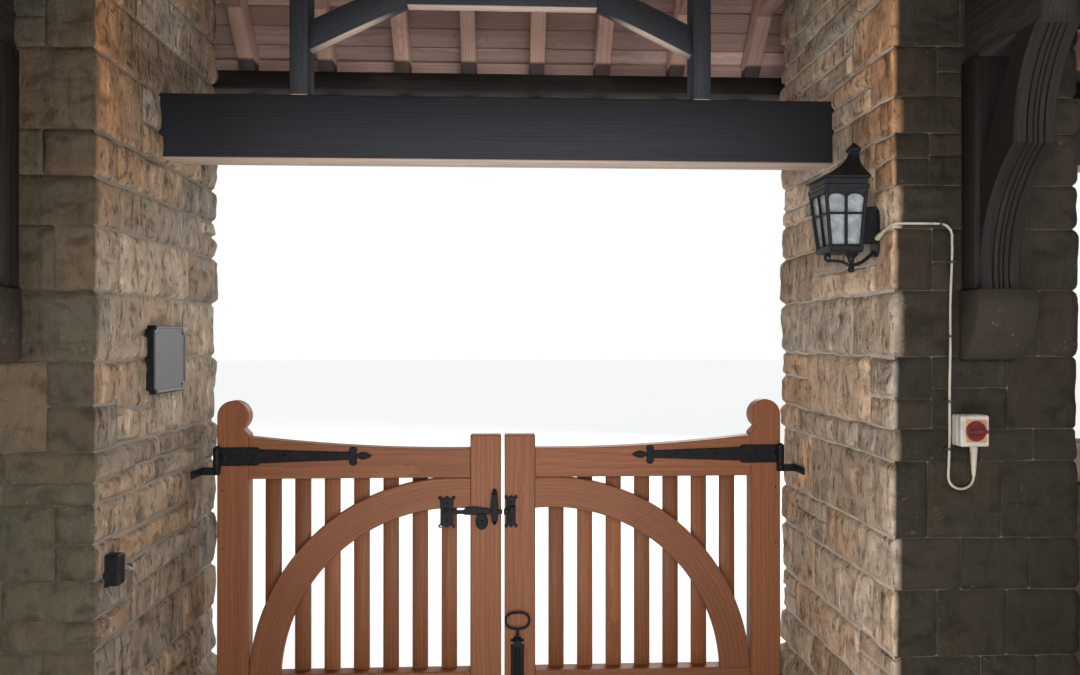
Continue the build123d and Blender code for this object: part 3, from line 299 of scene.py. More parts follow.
def roughNoise(x, y, z, seed, octaves=3, fall=0.5):
    # lattice noise at rising pitch and falling height, divided by the sum of the heights
    pitch, height = 2.03 ** np.arange(octaves), fall ** np.arange(octaves)
    layers = [h * latticeNoise(x * f, y * f, z * f, seed + k * 17)
              for k, (f, h) in enumerate(zip(pitch, height))]
    return sum(layers) / height.sum()


# materials
def addNode(tree, kind, settings=None, inputs=None):
    item = tree.nodes.new("ShaderNode" + kind)
    for key, value in (settings or {}).items():
        setattr(item, key, value)
    for key, value in (inputs or {}).items():
        feed(tree, item, key, value)
    return item


def feed(tree, item, key, value):
    if isinstance(value, bpy.types.NodeSocket):
        tree.links.new(value, item.inputs[key])
    else:
        item.inputs[key].default_value = value


def mixTone(tree, share, first, second, mode="MIX"):
    first, second = ((*tone, 1) if isinstance(tone, tuple) else tone for tone in (first, second))
    return addNode(tree, "Mix", {"data_type": "RGBA", "blend_type": mode},
                   {0: share, 6: first, 7: second}).outputs[2]


def noiseOf(tree, vector, scale, detail=4.0, rough=0.5, twist=0.0, output=0):
    return addNode(tree, "TexNoise", None, {"Vector": vector, "Scale": scale, "Detail": detail,
                                            "Roughness": rough, "Distortion": twist}).outputs[output]


def stretched(tree, vector, scale):
    return addNode(tree, "Mapping", None, {"Vector": vector, "Scale": scale}).outputs[0]


def between(tree, value, low, high, toLow=0.0, toHigh=1.0, smooth=True):
    return addNode(tree, "MapRange", {"interpolation_type": "SMOOTHSTEP" if smooth else "LINEAR"},
                   {"Value": value, "From Min": low, "From Max": high, "To Min": toLow,
                    "To Max": toHigh}).outputs[0]


def patches(tree, vector, scale, detail, rough, low, high, toLow=0.0, toHigh=1.0):
    # noise cut between two levels
    return between(tree, noiseOf(tree, vector, scale, detail, rough), low, high, toLow, toHigh)


def times(tree, first, second, kind="MULTIPLY"):
    return addNode(tree, "Math", {"operation": kind}, {0: first, 1: second}).outputs[0]


def layerOf(tree, name, output):
    return addNode(tree, "Attribute", {"attribute_name": name}).outputs[output]


def spotOf(tree, shift=None, reach=0):  # object coordinates, moved by a layer of the mesh where asked
    spot = addNode(tree, "TexCoord").outputs["Object"]
    return spot if shift is None else moved(tree, shift, reach, spot)


def moved(tree, first, factor, second):
    return addNode(tree, "VectorMath", {"operation": "MULTIPLY_ADD"},
                   {0: first, 1: factor, 2: second}).outputs[0]


def sanded(tree, vector, scale, tone, share, dark, pale):  # fine grains of light and dark
    sand = noiseOf(tree, vector, scale, 3.0, 0.7)
    return sand, mixTone(tree, share, tone, mixTone(tree, sand, (dark,) * 3, (pale,) * 3), "MULTIPLY")


def startMaterial(name, rough=0.6, metal=0.0, specular=0.5):
    material = bpy.data.materials.new(name)
    material.use_nodes = True
    shader = material.node_tree.nodes["Principled BSDF"]
    for key, value in (("Roughness", rough), ("Metallic", metal), ("Specular IOR Level", specular)):
        shader.inputs[key].default_value = value
    return material, material.node_tree, shader


def finishWith(tree, shader, tone, rough=None, heights=(), distance=0.001):
    # the colour, the roughness and a run of (value, strength) bumps laid one over the other
    tree.links.new(tone, shader.inputs["Base Color"])
    if rough is not None:
        tree.links.new(rough, shader.inputs["Roughness"])
    normal = None
    for value, strength in heights:
        inputs = {"Height": value, "Strength": strength, "Distance": distance}
        normal = addNode(tree, "Bump", None,
                         inputs if normal is None else {**inputs, "Normal": normal}).outputs[0]
    if normal is not None:
        tree.links.new(normal, shader.inputs["Normal"])


def timberMaterial(name, look):
    # growth rings round a pith line, wavered by slow noise, with fine fibres along the length and a few dark
    # pores
    material, tree, shader = startMaterial(name, look["rough"], specular=look.get("gloss", 0.5))
    coord = layerOf(tree, "grainCoord", "Vector")
    slow = noiseOf(tree, stretched(tree, coord, (1.1, 5, 5)), 1.0, 3.0, output=1)
    waver = moved(tree, slow, (0.0, look["waver"], look["waver"]), coord)
    rings = addNode(tree, "TexWave", {"wave_type": "RINGS", "rings_direction": "X", "wave_profile": "SAW"},
                    {"Vector": waver, "Scale": look["rings"], "Distortion": 2.2, "Detail": 2.0,
                     "Detail Scale": 1.2}).outputs[1]
    fibres = noiseOf(tree, stretched(tree, coord, (3.5, 190, 190)), 1.0, 4.0, 0.6)
    broad = noiseOf(tree, stretched(tree, coord, (0.9, 14, 14)), 1.0, 3.0)
    pores = patches(tree, stretched(tree, coord, (26, 420, 420)), 1.0, 2.0, 0.6, 0.63, 0.72)
    share = times(tree, times(tree, rings, look["ringShare"]), times(tree, fibres, 1 - look["ringShare"]),
                  "ADD")
    tone = mixTone(tree, between(tree, share, look["from"], look["to"], smooth=False), look["dark"],
                   look["pale"])
    tone = mixTone(tree, between(tree, broad, 0.2, 0.8, 0.0, look["broadShare"]), tone, look["broad"])
    tone = mixTone(tree, times(tree, pores, look["poreShare"]), tone, look["pore"])
    shift = look["pieceShift"]
    shift = between(tree, layerOf(tree, "toneShift", "Fac"), -1.0, 1.0, 1 - shift, 1 + shift, False)
    tone = addNode(tree, "VectorMath", {"operation": "SCALE"}, {0: tone, "Scale": shift}).outputs[0]
    if "bare" in look:  # painted light: undersides lightened to a pale tone
        face = addNode(tree, "SeparateXYZ", None,
                       {0: addNode(tree, "NewGeometry").outputs["Normal"]}).outputs[2]
        under = between(tree, face, -0.97, -0.6, look["bareShare"], 0.0)
        tone = mixTone(tree, times(tree, under, between(tree, fibres, 0.3, 0.75, 0.6, 1.0)), tone, look["bare"])
    if "worn" in look:  # greyed and rubbed in patches
        patch = patches(tree, stretched(tree, coord, (2.2, 11, 11)), 1.0, 5.0, 0.62, 0.5, 0.72, 0.0,
                        look["wornShare"])
        tone = mixTone(tree, times(tree, patch, fibres), tone, look["worn"])
    if "feet" in look:  # painted shadow: rafter feet blacked below a height, where they meet the plate
        height = addNode(tree, "SeparateXYZ", None, {0: spotOf(tree)}).outputs[2]
        tone = mixTone(tree, between(tree, height, *look["feet"], 0.9, 0.0), tone, look["feetShadowTone"])
    rough = between(tree, fibres, 0.3, 0.8, look["rough"] + 0.12, look["rough"] - 0.08, False)
    finishWith(tree, shader, tone, rough, ((fibres, look["fibreBump"]), (rings, look["ringBump"])), 0.0015)
    return material


gateTimber = timberMaterial("oiledGateTimber", {
    "rough": 0.5, "waver": 0.05, "rings": 22.0, "ringShare": 0.3, "from": 0.2, "to": 0.8, "gloss": 0.28,
    "dark": (0.12, 0.04, 0.0155), "pale": (0.25, 0.092, 0.036), "broad": (0.165, 0.058, 0.022),
    "broadShare": 0.35,
    "pore": (0.08, 0.028, 0.012), "poreShare": 0.5, "pieceShift": 0.16, "fibreBump": 0.3, "ringBump": 0.05})
stainedTimber = timberMaterial("stainedFrameTimber", {
    "rough": 0.62, "waver": 0.06, "rings": 26.0, "ringShare": 0.45, "from": 0.2, "to": 0.9, "gloss": 0.25,
    "dark": (0.0115, 0.013, 0.016), "pale": (0.025, 0.028, 0.034), "broad": (0.017, 0.019, 0.023),
    "broadShare": 0.4,
    "pore": (0.006, 0.006, 0.007), "poreShare": 0.5, "pieceShift": 0.15, "fibreBump": 0.3, "ringBump": 0.12,
    # painted light: the pale tone on the beams' undersides
    "bare": (0.62, 0.47, 0.38), "bareShare": 0.95})
# dark-stained truss timber, darkened further as painted shade under the roof
agedShadedTimber = timberMaterial("agedShadedTrussTimber", {
    "rough": 0.66, "waver": 0.07, "rings": 24.0, "ringShare": 0.5, "from": 0.15, "to": 0.85, "gloss": 0.18,
    "dark": (0.0055, 0.0042, 0.0035), "pale": (0.02, 0.015, 0.012), "broad": (0.01, 0.0075, 0.006),
    "broadShare": 0.5,
    "pore": (0.008, 0.006, 0.005), "poreShare": 0.6, "pieceShift": 0.18, "fibreBump": 0.45, "ringBump": 0.2,
    "worn": (0.1, 0.078, 0.064), "wornShare": 0.4})
roofTimber = timberMaterial("sawnRoofTimber", {
    "rough": 0.66, "waver": 0.05, "rings": 30.0, "ringShare": 0.55, "from": 0.1, "to": 0.9,
    "dark": (0.36, 0.205, 0.155), "pale": (0.62, 0.40, 0.32), "broad": (0.43, 0.27, 0.215), "broadShare": 0.55,
    "pore": (0.14, 0.08, 0.06), "poreShare": 0.4, "pieceShift": 0.2, "fibreBump": 0.4, "ringBump": 0.15,
    # painted shadow: the black tone at the rafter feet, below the height given
    "feet": (2.698, 2.71), "feetShadowTone": (0.012, 0.012, 0.014)})
boardTimber = timberMaterial("roofBoardTimber", {
    "rough": 0.7, "waver": 0.05, "rings": 30.0, "ringShare": 0.55, "from": 0.1, "to": 0.9,
    "dark": (0.35, 0.225, 0.185), "pale": (0.60, 0.42, 0.36), "broad": (0.44, 0.31, 0.265), "broadShare": 0.6,
    "pore": (0.15, 0.1, 0.08), "poreShare": 0.4, "pieceShift": 0.26, "fibreBump": 0.4, "ringBump": 0.15,
    "worn": (0.2, 0.15, 0.135), "wornShare": 0.9})
timberSlots = {"oiledGateTimber": "gate_timber", "stainedFrameTimber": "dark_timber",
               "agedShadedTrussTimber": "dark_timber",
               "sawnRoofTimber": "roof_timber", "roofBoardTimber": "roof_timber"}


def stoneMaterial(name, look):
    # tints laid over each stone's own tone: cloudy weathering, painted shade in the upright clefts and pits of
    # broken faces and in soft flaking on calm ones, painted highlights on the cleft ridges
    material, tree, shader = startMaterial(name, look["rough"], specular=0.25)
    coord = spotOf(tree, layerOf(tree, "stoneShift", "Fac"), (37, 53, 71))
    broken = layerOf(tree, "faceRough", "Fac")

    def onBroken(share, calm):  # as it is on broken faces, and weaker on calm ones
        return times(tree, share, between(tree, broken, 0.0, 1.0, calm, 1.0, False))
    cleft = noiseOf(tree, stretched(tree, coord, (22, 22, 6.0)), 1.0, 6.0, 0.6, 0.35)
    flake = noiseOf(tree, stretched(tree, coord, (10, 10, 17)), 1.0, 7.0, 0.6, 0.5)
    pit = noiseOf(tree, stretched(tree, coord, (58, 58, 21)), 1.0, 4.0, 0.6, 0.3)
    lichen = times(tree, patches(tree, coord, 75.0, 3.0, 0.6, 0.6, 0.68),
                   patches(tree, coord, 5.0, 2.0, 0.5, 0.54, 0.66, 0.0, look["lichenShare"]))
    tints = (
        (onBroken(patches(tree, coord, 6.0, 5.0, 0.6, 0.36, 0.66, 0.0, look["warmShare"]), 0.5), look["warm"]),
        (patches(tree, coord, 14.0, 6.0, 0.65, 0.44, 0.7, 0.0, look["stainShare"]), look["stain"]),
        # painted shade: clefts and pits darkened, most on broken faces
        (onBroken(between(tree, cleft, 0.30, 0.47, look["cleftShadeShare"], 0.0), 0.5), (0.5, 0.45, 0.41)),
        (onBroken(between(tree, pit, 0.34, 0.46, look["pitShadeShare"], 0.0), 0.3), (0.36, 0.32, 0.29)),
        # painted shade: soft flakes darkened
        (between(tree, flake, 0.33, 0.5, look["flakeShadeShare"], 0.0), (0.5, 0.46, 0.42)),
        # painted highlight: cleft ridges lightened by the tint high
        (onBroken(between(tree, cleft, 0.54, 0.74, 0.0, look["paintedHighlightShare"]), 0.25), look["high"]),
    )
    tone = layerOf(tree, "stoneTone", "Color")
    for share, tint in tints:
        tone = mixTone(tree, share, tone, tint, "MULTIPLY")
    tone = mixTone(tree, onBroken(lichen, 0.15), tone, look["lichen"])
    grit, tone = sanded(tree, coord, 240.0, tone, 0.35, 0.55, 1.35)
    heights = ((times(tree, cleft, broken), look["crackBump"]), (pit, look["pitBump"]),
               (flake, look["faceBump"]),
               (grit, look["gritBump"]))
    finishWith(tree, shader, tone, None, heights, 0.011)
    return material


# the cleft, pit and flake shares are painted shade; high and its share are a painted highlight
rockStone = stoneMaterial("rockFacedStone", {
    "rough": 0.9, "pitShadeShare": 0.95, "cleftShadeShare": 0.95, "flakeShadeShare": 0.8, "pitBump": 0.5, "crackBump": 1.0,
    "faceBump": 1.0, "gritBump": 0.16, "warm": (1.2, 0.99, 0.8), "warmShare": 0.6, "stain": (0.6, 0.66, 0.64),
    "stainShare": 0.7, "high": (1.8, 1.84, 1.84), "paintedHighlightShare": 0.95, "lichen": (0.6, 0.56, 0.42),
    "lichenShare": 0.4})
# the same painted shade and painted highlight, weaker on dressed stone
dressedStone = stoneMaterial("dressedCopingStone", {
    "rough": 0.88, "pitShadeShare": 0.2, "cleftShadeShare": 0.2, "flakeShadeShare": 0.4, "pitBump": 0.1, "crackBump": 0.1,
    "faceBump": 0.2, "gritBump": 0.2, "warm": (1.2, 0.98, 0.8), "warmShare": 0.5, "stain": (0.62, 0.68, 0.64),
    "stainShare": 0.6, "high": (1.15, 1.15, 1.15), "paintedHighlightShare": 0.4, "lichen": (0.55, 0.54, 0.44),
    "lichenShare": 0.5})


def mortarMaterial():
    # sandy joint; its tone comes from the mesh, where painted light makes it paler on the reveals and painted
    # shade darker on the faces towards the hall
    material, tree, shader = startMaterial("limeMortar", 0.94, specular=0.2)
    spot = spotOf(tree)
    patch = noiseOf(tree, spot, 11.0, 4.0, 0.6)
    tone = layerOf(tree, "stoneTone", "Color")
    tone = mixTone(tree, between(tree, patch, 0.4, 0.7, 0.0, 0.5), tone, (0.24, 0.2, 0.16))
    sand, tone = sanded(tree, spot, 320.0, tone, 0.3, 0.5, 1.4)
    finishWith(tree, shader, tone, None, ((patch, 0.4), (sand, 0.35)), 0.003)
    return material


limeMortar = mortarMaterial()
print("lychgate: timber and stone finishes made")

# masonry
stoneLook = {
    "upHalf": 0.0009, "bedHalf": 0.0036, "hallHalf": 0.001, "margin": 0.008, "upDrop": 0.003, "bedDrop": 0.0056,
    "mortarDepth": 0.0048, "waver": 0.0045, "plinthOut": 0.035, "plinthSlope": 0.06, "softEdge": 0.022,
    "palette": ((0.35, 0.262, 0.19), (0.31, 0.248, 0.19), (0.39, 0.315, 0.24), (0.295, 0.214, 0.152),
                (0.335, 0.275, 0.215), (0.27, 0.228, 0.182), (0.36, 0.252, 0.168)),
    # painted shade: the stones of the faces towards the hall get far darker tones than the same stone on the
    # reveals
    "shadedHallPalette": ((0.078, 0.06, 0.039), (0.07, 0.056, 0.037), (0.088, 0.065, 0.041), (0.065, 0.053, 0.036),
                    (0.077, 0.059, 0.037), (0.071, 0.059, 0.04)),
    # painted sunlight: the orange laid over the top of one arris; the green is damp
    "paintedSunOrange": (0.40, 0.205, 0.09), "green": (0.062, 0.062, 0.036),
    # painted shade: the dark mortar of the faces towards the hall
    "mortar": (0.36, 0.325, 0.28), "shadedHallMortar": (0.06, 0.05, 0.036),
}
# where something is fixed to the stone: low corner, high corner and how far the stone may stand out
calmZones = [
    ((1.10, 1.225, 1.68), (1.20, 1.40, 1.92), 0.0015),      # lantern plate
    ((1.10, 1.15, 1.80), (1.36, 1.31, 1.89), 0.0),          # cable round the arris
    ((1.28, 1.10, 1.06), (1.43, 1.25, 1.89), 0.0),          # cable down to the switch
    ((1.31, 1.10, 1.19), (1.42, 1.25, 1.32), 0.0),          # switch
    ((-1.20, 1.52, 1.33), (-1.10, 1.80, 1.58), 0.006),      # plaque
    ((-1.20, 1.25, 0.79), (-1.10, 1.36, 0.92), 0.002),      # catch
    # pintles
    ((-1.20, 1.90, 0.98), (-1.10, 2.06, 1.06), 0.001), ((1.10, 1.90, 0.98), (1.20, 2.06, 1.06), 0.001),
    ((-1.24, 1.88, 0.05), (-1.10, 2.06, 0.15), 0.001), ((1.10, 1.88, 0.05), (1.24, 2.06, 0.15), 0.001),
    # wall posts
    ((-1.55, -1.3, 1.40), (-1.30, 1.3, 2.34), 0.002), ((1.30, -1.3, 1.40), (1.55, 1.3, 2.34), 0.002),
]


def spreadRow(count, edge):
    # places from 0 to 1 for each stone, the second and the last but one a fixed margin from the ends
    inner = edge + (1 - 2 * edge) * np.linspace(0, 1, count - 2)[None]
    return np.concatenate([np.zeros_like(edge), inner, np.ones_like(edge)], axis=1)


def upJoints(sides, closed, rng, lengths, turn):
    # distances along the wall at which upright joints fall; on a pier each arris lies inside a quoin
    joints, start = [], 0.0
    for index, side in enumerate(sides):
        first = last = 0.0
        if closed:
            first, last = rng.uniform(0.23, 0.33), rng.uniform(0.12, 0.17)
            if (index + turn) % 2:
                first, last = last, first
            if side < 0.7:
                first, last = first * 0.85, last * 0.85
        inner = side - first - last
        count = max(0 if inner < 0.1 else 1, int(round(inner / rng.uniform(*lengths))))
        joints.append(start + first)
        if count:
            cuts = np.cumsum(rng.uniform(0.65, 1.35, count))
            joints += list(start + first + cuts[:-1] / cuts[-1] * inner)
            if closed:
                joints.append(start + first + inner)
        start += side
    return joints, start


def courseStones(spec, sides, rng):
    # one row of (s0, s1, z0, z1) for each stone, high courses split into two thinner ones here and there
    rows, closed, courses = [], spec["closed"], spec["courses"]
    for turn, (low, high) in enumerate(zip(courses[:-1], courses[1:])):
        joints, total = upJoints(sides, closed, rng, spec["lengths"], turn)
        ends = joints[1:] + [joints[0] + total if closed else total]
        arrises = np.concatenate([[0], np.cumsum(sides), total + np.cumsum(sides)])
        tall = high - low
        for s0, s1 in zip(joints, ends):
            if not closed and s1 - s0 < 0.02:
                continue
            wraps = closed and ((arrises > s0 + 0.001) & (arrises < s1 - 0.001)).any()
            if tall > 0.14 and low > spec["plinth"] and rng.random() < (0.22 if wraps else spec["splitShare"]):
                cut, lower = low + tall * rng.uniform(0.4, 0.6), (s0, s1)
                if s1 - s0 > 0.3 and not wraps and rng.random() < 0.5:
                    lower = (s0, s0 + (s1 - s0) * rng.uniform(0.35, 0.65), s1)
                rows += [(a, b, low, cut) for a, b in zip(lower[:-1], lower[1:])] + [(s0, s1, cut, high)]
            else:
                rows.append((s0, s1, low, high))
    return np.array(rows)


def pinTo(level, places, reach):
    # in each stone that spans the level, the nearest of its inner points moves on to it
    hit = (places[:, 0] < level - reach) & (places[:, -1] > level + reach)
    nearest = np.clip(np.abs(places - level).argmin(axis=1), 2, places.shape[1] - 3)
    places[hit, nearest[hit]] = level


def wallStones(spec, rng):
    # the wall's stones as patches over (distance along, height): thin upright joints, wider beds, and faces
    # that swell
    # and are broken by noise stretched upright; returns points, quads and the layers for the finish
    look, paintedLightLevel = stoneLook, spec["paintedLightLevel"]
    corners, closed, plinth = np.asarray(spec["corners"], float), spec["closed"], spec["plinth"]
    begins = corners if closed else corners[:-1]
    run = np.roll(corners, -1, axis=0)[:len(begins)] - begins
    sides, along = np.linalg.norm(run, axis=1), unit(run)
    normal = np.stack([along[:, 1], -along[:, 0]], axis=1)
    turns, total = np.cumsum(sides), sides.sum()
    rows = courseStones(spec, list(sides), rng)
    count, (nu, nv) = len(rows), spec["grid"]
    low, high = rows[:, 2:3], rows[:, 3:4]
    wide = rows[:, 1:2] - rows[:, :1] - 2 * look["upHalf"]
    s = rows[:, :1] + look["upHalf"] + wide * spreadRow(nu, look["margin"] / wide)
    z = low + (high - low) * spreadRow(nv, look["margin"] / (high - low))
    onGround = low < 0.001
    if plinth:  # a row of points on the plinth's upper edge
        pinTo(plinth, z, 0.02)
    arrises = np.concatenate([turns, total + turns]) if closed else np.array([-9.0])
    for arris in arrises:
        pinTo(arris, s, 0.01)
    edgeS = np.minimum(s - s[:, :1], s[:, -1:] - s)[:, None, :]
    edgeZ = np.minimum(np.where(onGround, 1.0, z - z[:, :1]), z[:, -1:] - z)[:, :, None]
    s3, z3 = np.repeat(s[:, None, :], nv, axis=1), np.repeat(z[:, :, None], nu, axis=2)
    away = np.abs(s3[..., None] - arrises)
    atArris = away.min(axis=-1) < 1e-6
    within = np.mod(s3, total) if closed else s3
    side = np.clip(np.searchsorted(turns, within - 1e-7), 0, len(sides) - 1)
    side = np.where(atArris, away.argmin(axis=-1) % len(sides), side)
    distance = np.where(atArris, sides[side], within - (turns - sides)[side])
    rough, hall = np.asarray(spec["rough"])[side], np.asarray(spec["hall"], float)[side]
    shut = np.zeros(nv)
    shut[:2], shut[-2:] = 1, -1
    shut = np.where(onGround & (shut > 0), 0, shut)[:, :, None]
    tight = rng.uniform(0.15, 1.5, count)[:, None, None]
    z3 = z3 + shut * (look["bedHalf"] * tight * (1 - hall) + look["hallHalf"] * hall)
    number = (np.arange(count) * 3.7)[:, None, None] + spec["seed"]
    waver = look["waver"] * latticeNoise(s3 * 17, z3 * 17, number * 0 + spec["seed"], 5) * (1 - 0.6 * hall)
    z3 = np.where((shut != 0) & (z3 > 0.01), z3 + waver, z3)
    lift = rng.uniform(0.1, 1.0, count)[:, None, None]
    tilt = rng.uniform(-1, 1, count)[:, None, None] * (s3 - s3.mean(axis=2, keepdims=True)) * 0.03
    coarse = roughNoise(s3 * 15, z3 * 5, number, 11, 3)
    chip = np.abs(roughNoise(s3 * 34, z3 * 9, number, 29, 3, 0.6)) * rough
    broad = latticeNoise(s3 * 6, z3 * 7, number, 41)
    face = rough * (0.012 * lift + 0.009 * coarse - 0.016 * chip + 0.006 * broad + tilt) + 0.002
    riseS, riseZ = (np.minimum(edge / look["margin"], 1) for edge in (edgeS, edgeZ))
    soft = np.clip(np.minimum(edgeS, edgeZ) / look["softEdge"], 0.35, 1)
    relief = np.maximum(face * soft, -0.003) * np.minimum(riseS, riseZ)
    relief -= look["upDrop"] * (1 - riseS) + look["bedDrop"] * (1 - riseZ) * (1 - 0.35 * hall)
    base = begins[side] + along[side] * distance[..., None]
    push = normal[side] + np.where(atArris[..., None], normal[(side + 1) % len(sides)], 0)
    stand = look["plinthOut"] * np.clip(1 - (z3 - plinth) / look["plinthSlope"], 0, 1) * bool(plinth)
    points = np.concatenate([base + push * (stand + relief)[..., None], z3[..., None]], axis=-1)
    for lowCorner, highCorner, limit in calmZones:
        off = np.maximum(np.maximum(np.asarray(lowCorner) - points, points - np.asarray(highCorner)),
                         0).max(axis=-1)
        relief = np.minimum(relief, limit + off * 0.5)
    points[..., :2] = base + push * (stand + relief)[..., None]
    # painted light and shade: reveal tones scaled by the pier's light level; faces towards the hall take the
    # darker palette and their own light level, which also dims the green damp there
    tones, shadedHallTones = (np.asarray(look[key])[rng.integers(0, len(look[key]), count)][:, None, None]
                        for key in ("palette", "shadedHallPalette"))
    inHall = hall[..., None]
    tone = tones * paintedLightLevel[0] * (1 - inHall) + shadedHallTones * paintedLightLevel[1] * inHall
    tone = tone * rng.uniform(0.82, 1.18, count)[:, None, None, None]
    green = np.clip(0.5 + 0.9 * latticeNoise(s3 * 3, z3 * 3, number * 0, 77), 0, 1) * np.clip(1.9 - z3, 0, 1)
    damp = ((0.1 + 0.3 * hall) * green)[..., None]
    tone = tone * (1 - damp) + np.array(look["green"]) * paintedLightLevel[1] * damp
    # painted sunlight: an orange glow over the top of the stones near one arris
    if "sunlitTopEnd" in spec:
        far = distance if spec["sunlitTopEnd"] == "start" else sides[side] - distance
        paintedSunGlow = np.clip((z3 - 1.75) / 0.5, 0, 1) * np.clip(1 - far / 0.32, 0,
                                                          1) * (side == spec["sunlitTopSide"]) * 0.8
        tone = tone * (1 - paintedSunGlow[..., None]) + np.array(look["paintedSunOrange"]) * paintedSunGlow[..., None]
    quads = gridSurface(np.zeros((nv, nu, 3)))[None] + (np.arange(count) * nu * nv)[:, None, None]
    return points.reshape(-1, 3), quads.reshape(-1, 4), {
        "stoneTone": tone.reshape(-1, 3), "faceRough": (1 - hall).ravel(),
        "stoneShift": np.repeat(rng.uniform(0, 1, count), nu * nv)}


def mortarCore(spec):
    # the wall's body a little behind the stone faces: corners at each change of outline, capped at both ends
    corners, closed, plinth = np.asarray(spec["corners"], float), spec["closed"], spec["plinth"]
    depth, top, out = stoneLook["mortarDepth"], spec["courses"][-1], stoneLook["plinthOut"]
    if closed:
        shift = np.sign(corners - corners.mean(axis=0))
        levels = ((out, 0.0), (out, plinth), (0.0, plinth + stoneLook["plinthSlope"]), (0.0, top))
        rings = [(corners + shift * (reach - depth), level) for reach, level in levels]
        caps = (rings[0], rings[-1])
    else:  # a straight wall face: a slab from this face to the middle of the wall
        away = unit(np.array([corners[0, 1] - corners[1, 1], corners[1, 0] - corners[0, 0]]))
        slab = [np.concatenate([corners + away * inset, corners[::-1] + away * spec["depth"]])
                for inset in (depth, 0)]
        rings, caps = ([(outline, level) for level in (0.0, top)] for outline in slab)
    rings, caps = (np.stack([np.column_stack([outline, np.full(4, level)]) for outline, level in rows])
                   for rows in (rings, caps))
    rows, shadedHallMortar = len(rings), np.asarray(stoneLook["shadedHallMortar"])
    strips = [rings[:, [k, (k + 1) % 4]] for k in range(4)]
    quads = [gridSurface(strip) + 2 * rows * k for k, strip in enumerate(strips)]
    hall = np.asarray(spec["hall"] if closed else spec["hall"] * 4)[:, None]
    # painted light and shade: reveal mortar scaled by the light level, mortar of the hall faces painted dark
    sideTones = np.asarray(stoneLook["mortar"]) * spec["paintedLightLevel"][0] ** 1.8 * (1 - hall) + shadedHallMortar * hall
    start = 8 * rows
    quads.append(np.array([[start + 3, start + 2, start + 1, start],
                           [start + 4, start + 5, start + 6, start + 7]]))
    tones = np.concatenate([np.repeat(sideTones, 2 * rows, axis=0), np.tile(shadedHallMortar, (8, 1))])
    points = np.concatenate([item.reshape(-1, 3) for item in (*strips, caps)])
    return points, np.concatenate(quads), {"stoneTone": tones}


def buildWalls(name, specs, seed, nodes):
    rng = np.random.default_rng(seed)
    sets, cores = [wallStones(spec, rng) for spec in specs], [mortarCore(spec) for spec in specs]
    for word, items, finish, smooth in (("Stones", sets, rockStone, 180), ("Mortar", cores, limeMortar, None)):
        shift = np.cumsum([0] + [len(item[0]) for item in items])
        quads = np.concatenate([item[1] + start for item, start in zip(items, shift)])
        putMesh(name + word, np.concatenate([item[0] for item in items]), [quads], finish, "masonry",
                smooth=smooth,
                nodes=nodes if word == "Stones" else (),
                layers={key: np.concatenate([item[2][key] for item in items]) for key in items[0][2]})
    print("lychgate:", name, sum(len(item[1]) for item in sets), "stone faces")


def pierSpec(sx, sy, xs, courses, grid, seed, **extra):
    # corners run round the pier from its low corner: sides 0 to 3 face -Y, +X, +Y and -X
    (x0, x1), (y0, y1) = (sorted(sx * x for x in xs),
                          sorted(sy * y for y in (place["wallInner"], place["wallOuter"])))
    hall = [1.0 if k == 1 - sy else 0.0 for k in range(4)]
    return {"corners": ((x0, y0), (x1, y0), (x1, y1), (x0, y1)), "closed": True, "courses": courses,
            "grid": grid,
            "seed": seed, "hall": hall, "rough": [1 - 0.38 * h for h in hall], "lengths": (0.3, 0.56),
            "splitShare": 0.5, "plinth": 0.22, "paintedLightLevel": (1.0, 1.0), **extra}


def lowWallSpec(ends, towardHall, seed):
    # one face of a low wall: calm towards the hall, broken outwards
    hall = float(towardHall)
    return {"corners": ends, "closed": False, "courses": wallCourses, "grid": (12, 8), "seed": seed,
            "hall": [hall],
            "rough": [1 - 0.58 * hall], "lengths": (0.24, 0.36), "splitShare": 0.2, "plinth": 0,
            "depth": wallLook["half"], "paintedLightLevel": (1.0, 1.0)}


pierTop = rafterLine(place["wallOuter"]) - 0.012
rightCourses = (0, 0.29, 0.43, 0.588, 0.783, 0.936, 1.163, 1.258, 1.471, 1.667, 1.849, 1.977, 2.132, 2.24,
                2.388,
                2.56, 2.72, pierTop)
leftCourses = (0, 0.29, 0.46, 0.64, 0.84, 1.053, 1.203, 1.46, 1.661, 1.845, 1.985, 2.116, 2.347, 2.53, 2.7,
               pierTop)
plainCourses = (0, 0.29, 0.45, 0.62, 0.8, 0.95, 1.14, 1.29, 1.47, 1.66, 1.81, 1.98, 2.13, 2.33, 2.5, 2.7,
                pierTop)
wallCourses = (0, 0.17, 0.33, 0.5, 0.64, 0.82, 0.95, 1.06)
wallLook = {"half": 0.21, "top": 1.06, "joint": 0.003}
xIn, xOut, yIn, yOut = place["halfOpening"], place["pierOuter"], place["wallInner"], place["wallOuter"]
tx, gx, halfBeam = place["trussX"], place["gableX"], place["halfBeam"]
pierPlan = (  # name, node, side, front or rear, courses, grid of each stone, seed, and what is this pier's own: the end and side of its painted sunlit top, and its painted light levels on the reveals and the hall face
    ("frontRightPier", "front_pier_right", 1, 1, rightCourses, (22, 16), 1, ("end", 3, (1.25, 0.33))),
    ("frontLeftPier", "front_pier_left", -1, 1, leftCourses, (22, 16), 2, ("start", 1, (0.7, 0.95))),
    ("rearRightPier", "rear_pier_right", 1, -1, plainCourses, (13, 9), 3, None),
    ("rearLeftPier", "rear_pier_left", -1, -1, leftCourses, (13, 9), 4, None),
)
for name, node, sx, sy, courses, grid, seed, own in pierPlan:
    extra = dict(zip(("sunlitTopEnd", "sunlitTopSide", "paintedLightLevel"), own or ()))
    buildWalls(name, [pierSpec(sx, sy, (xIn, xOut), courses, grid, float(seed), **extra)], 100 + seed, [node])
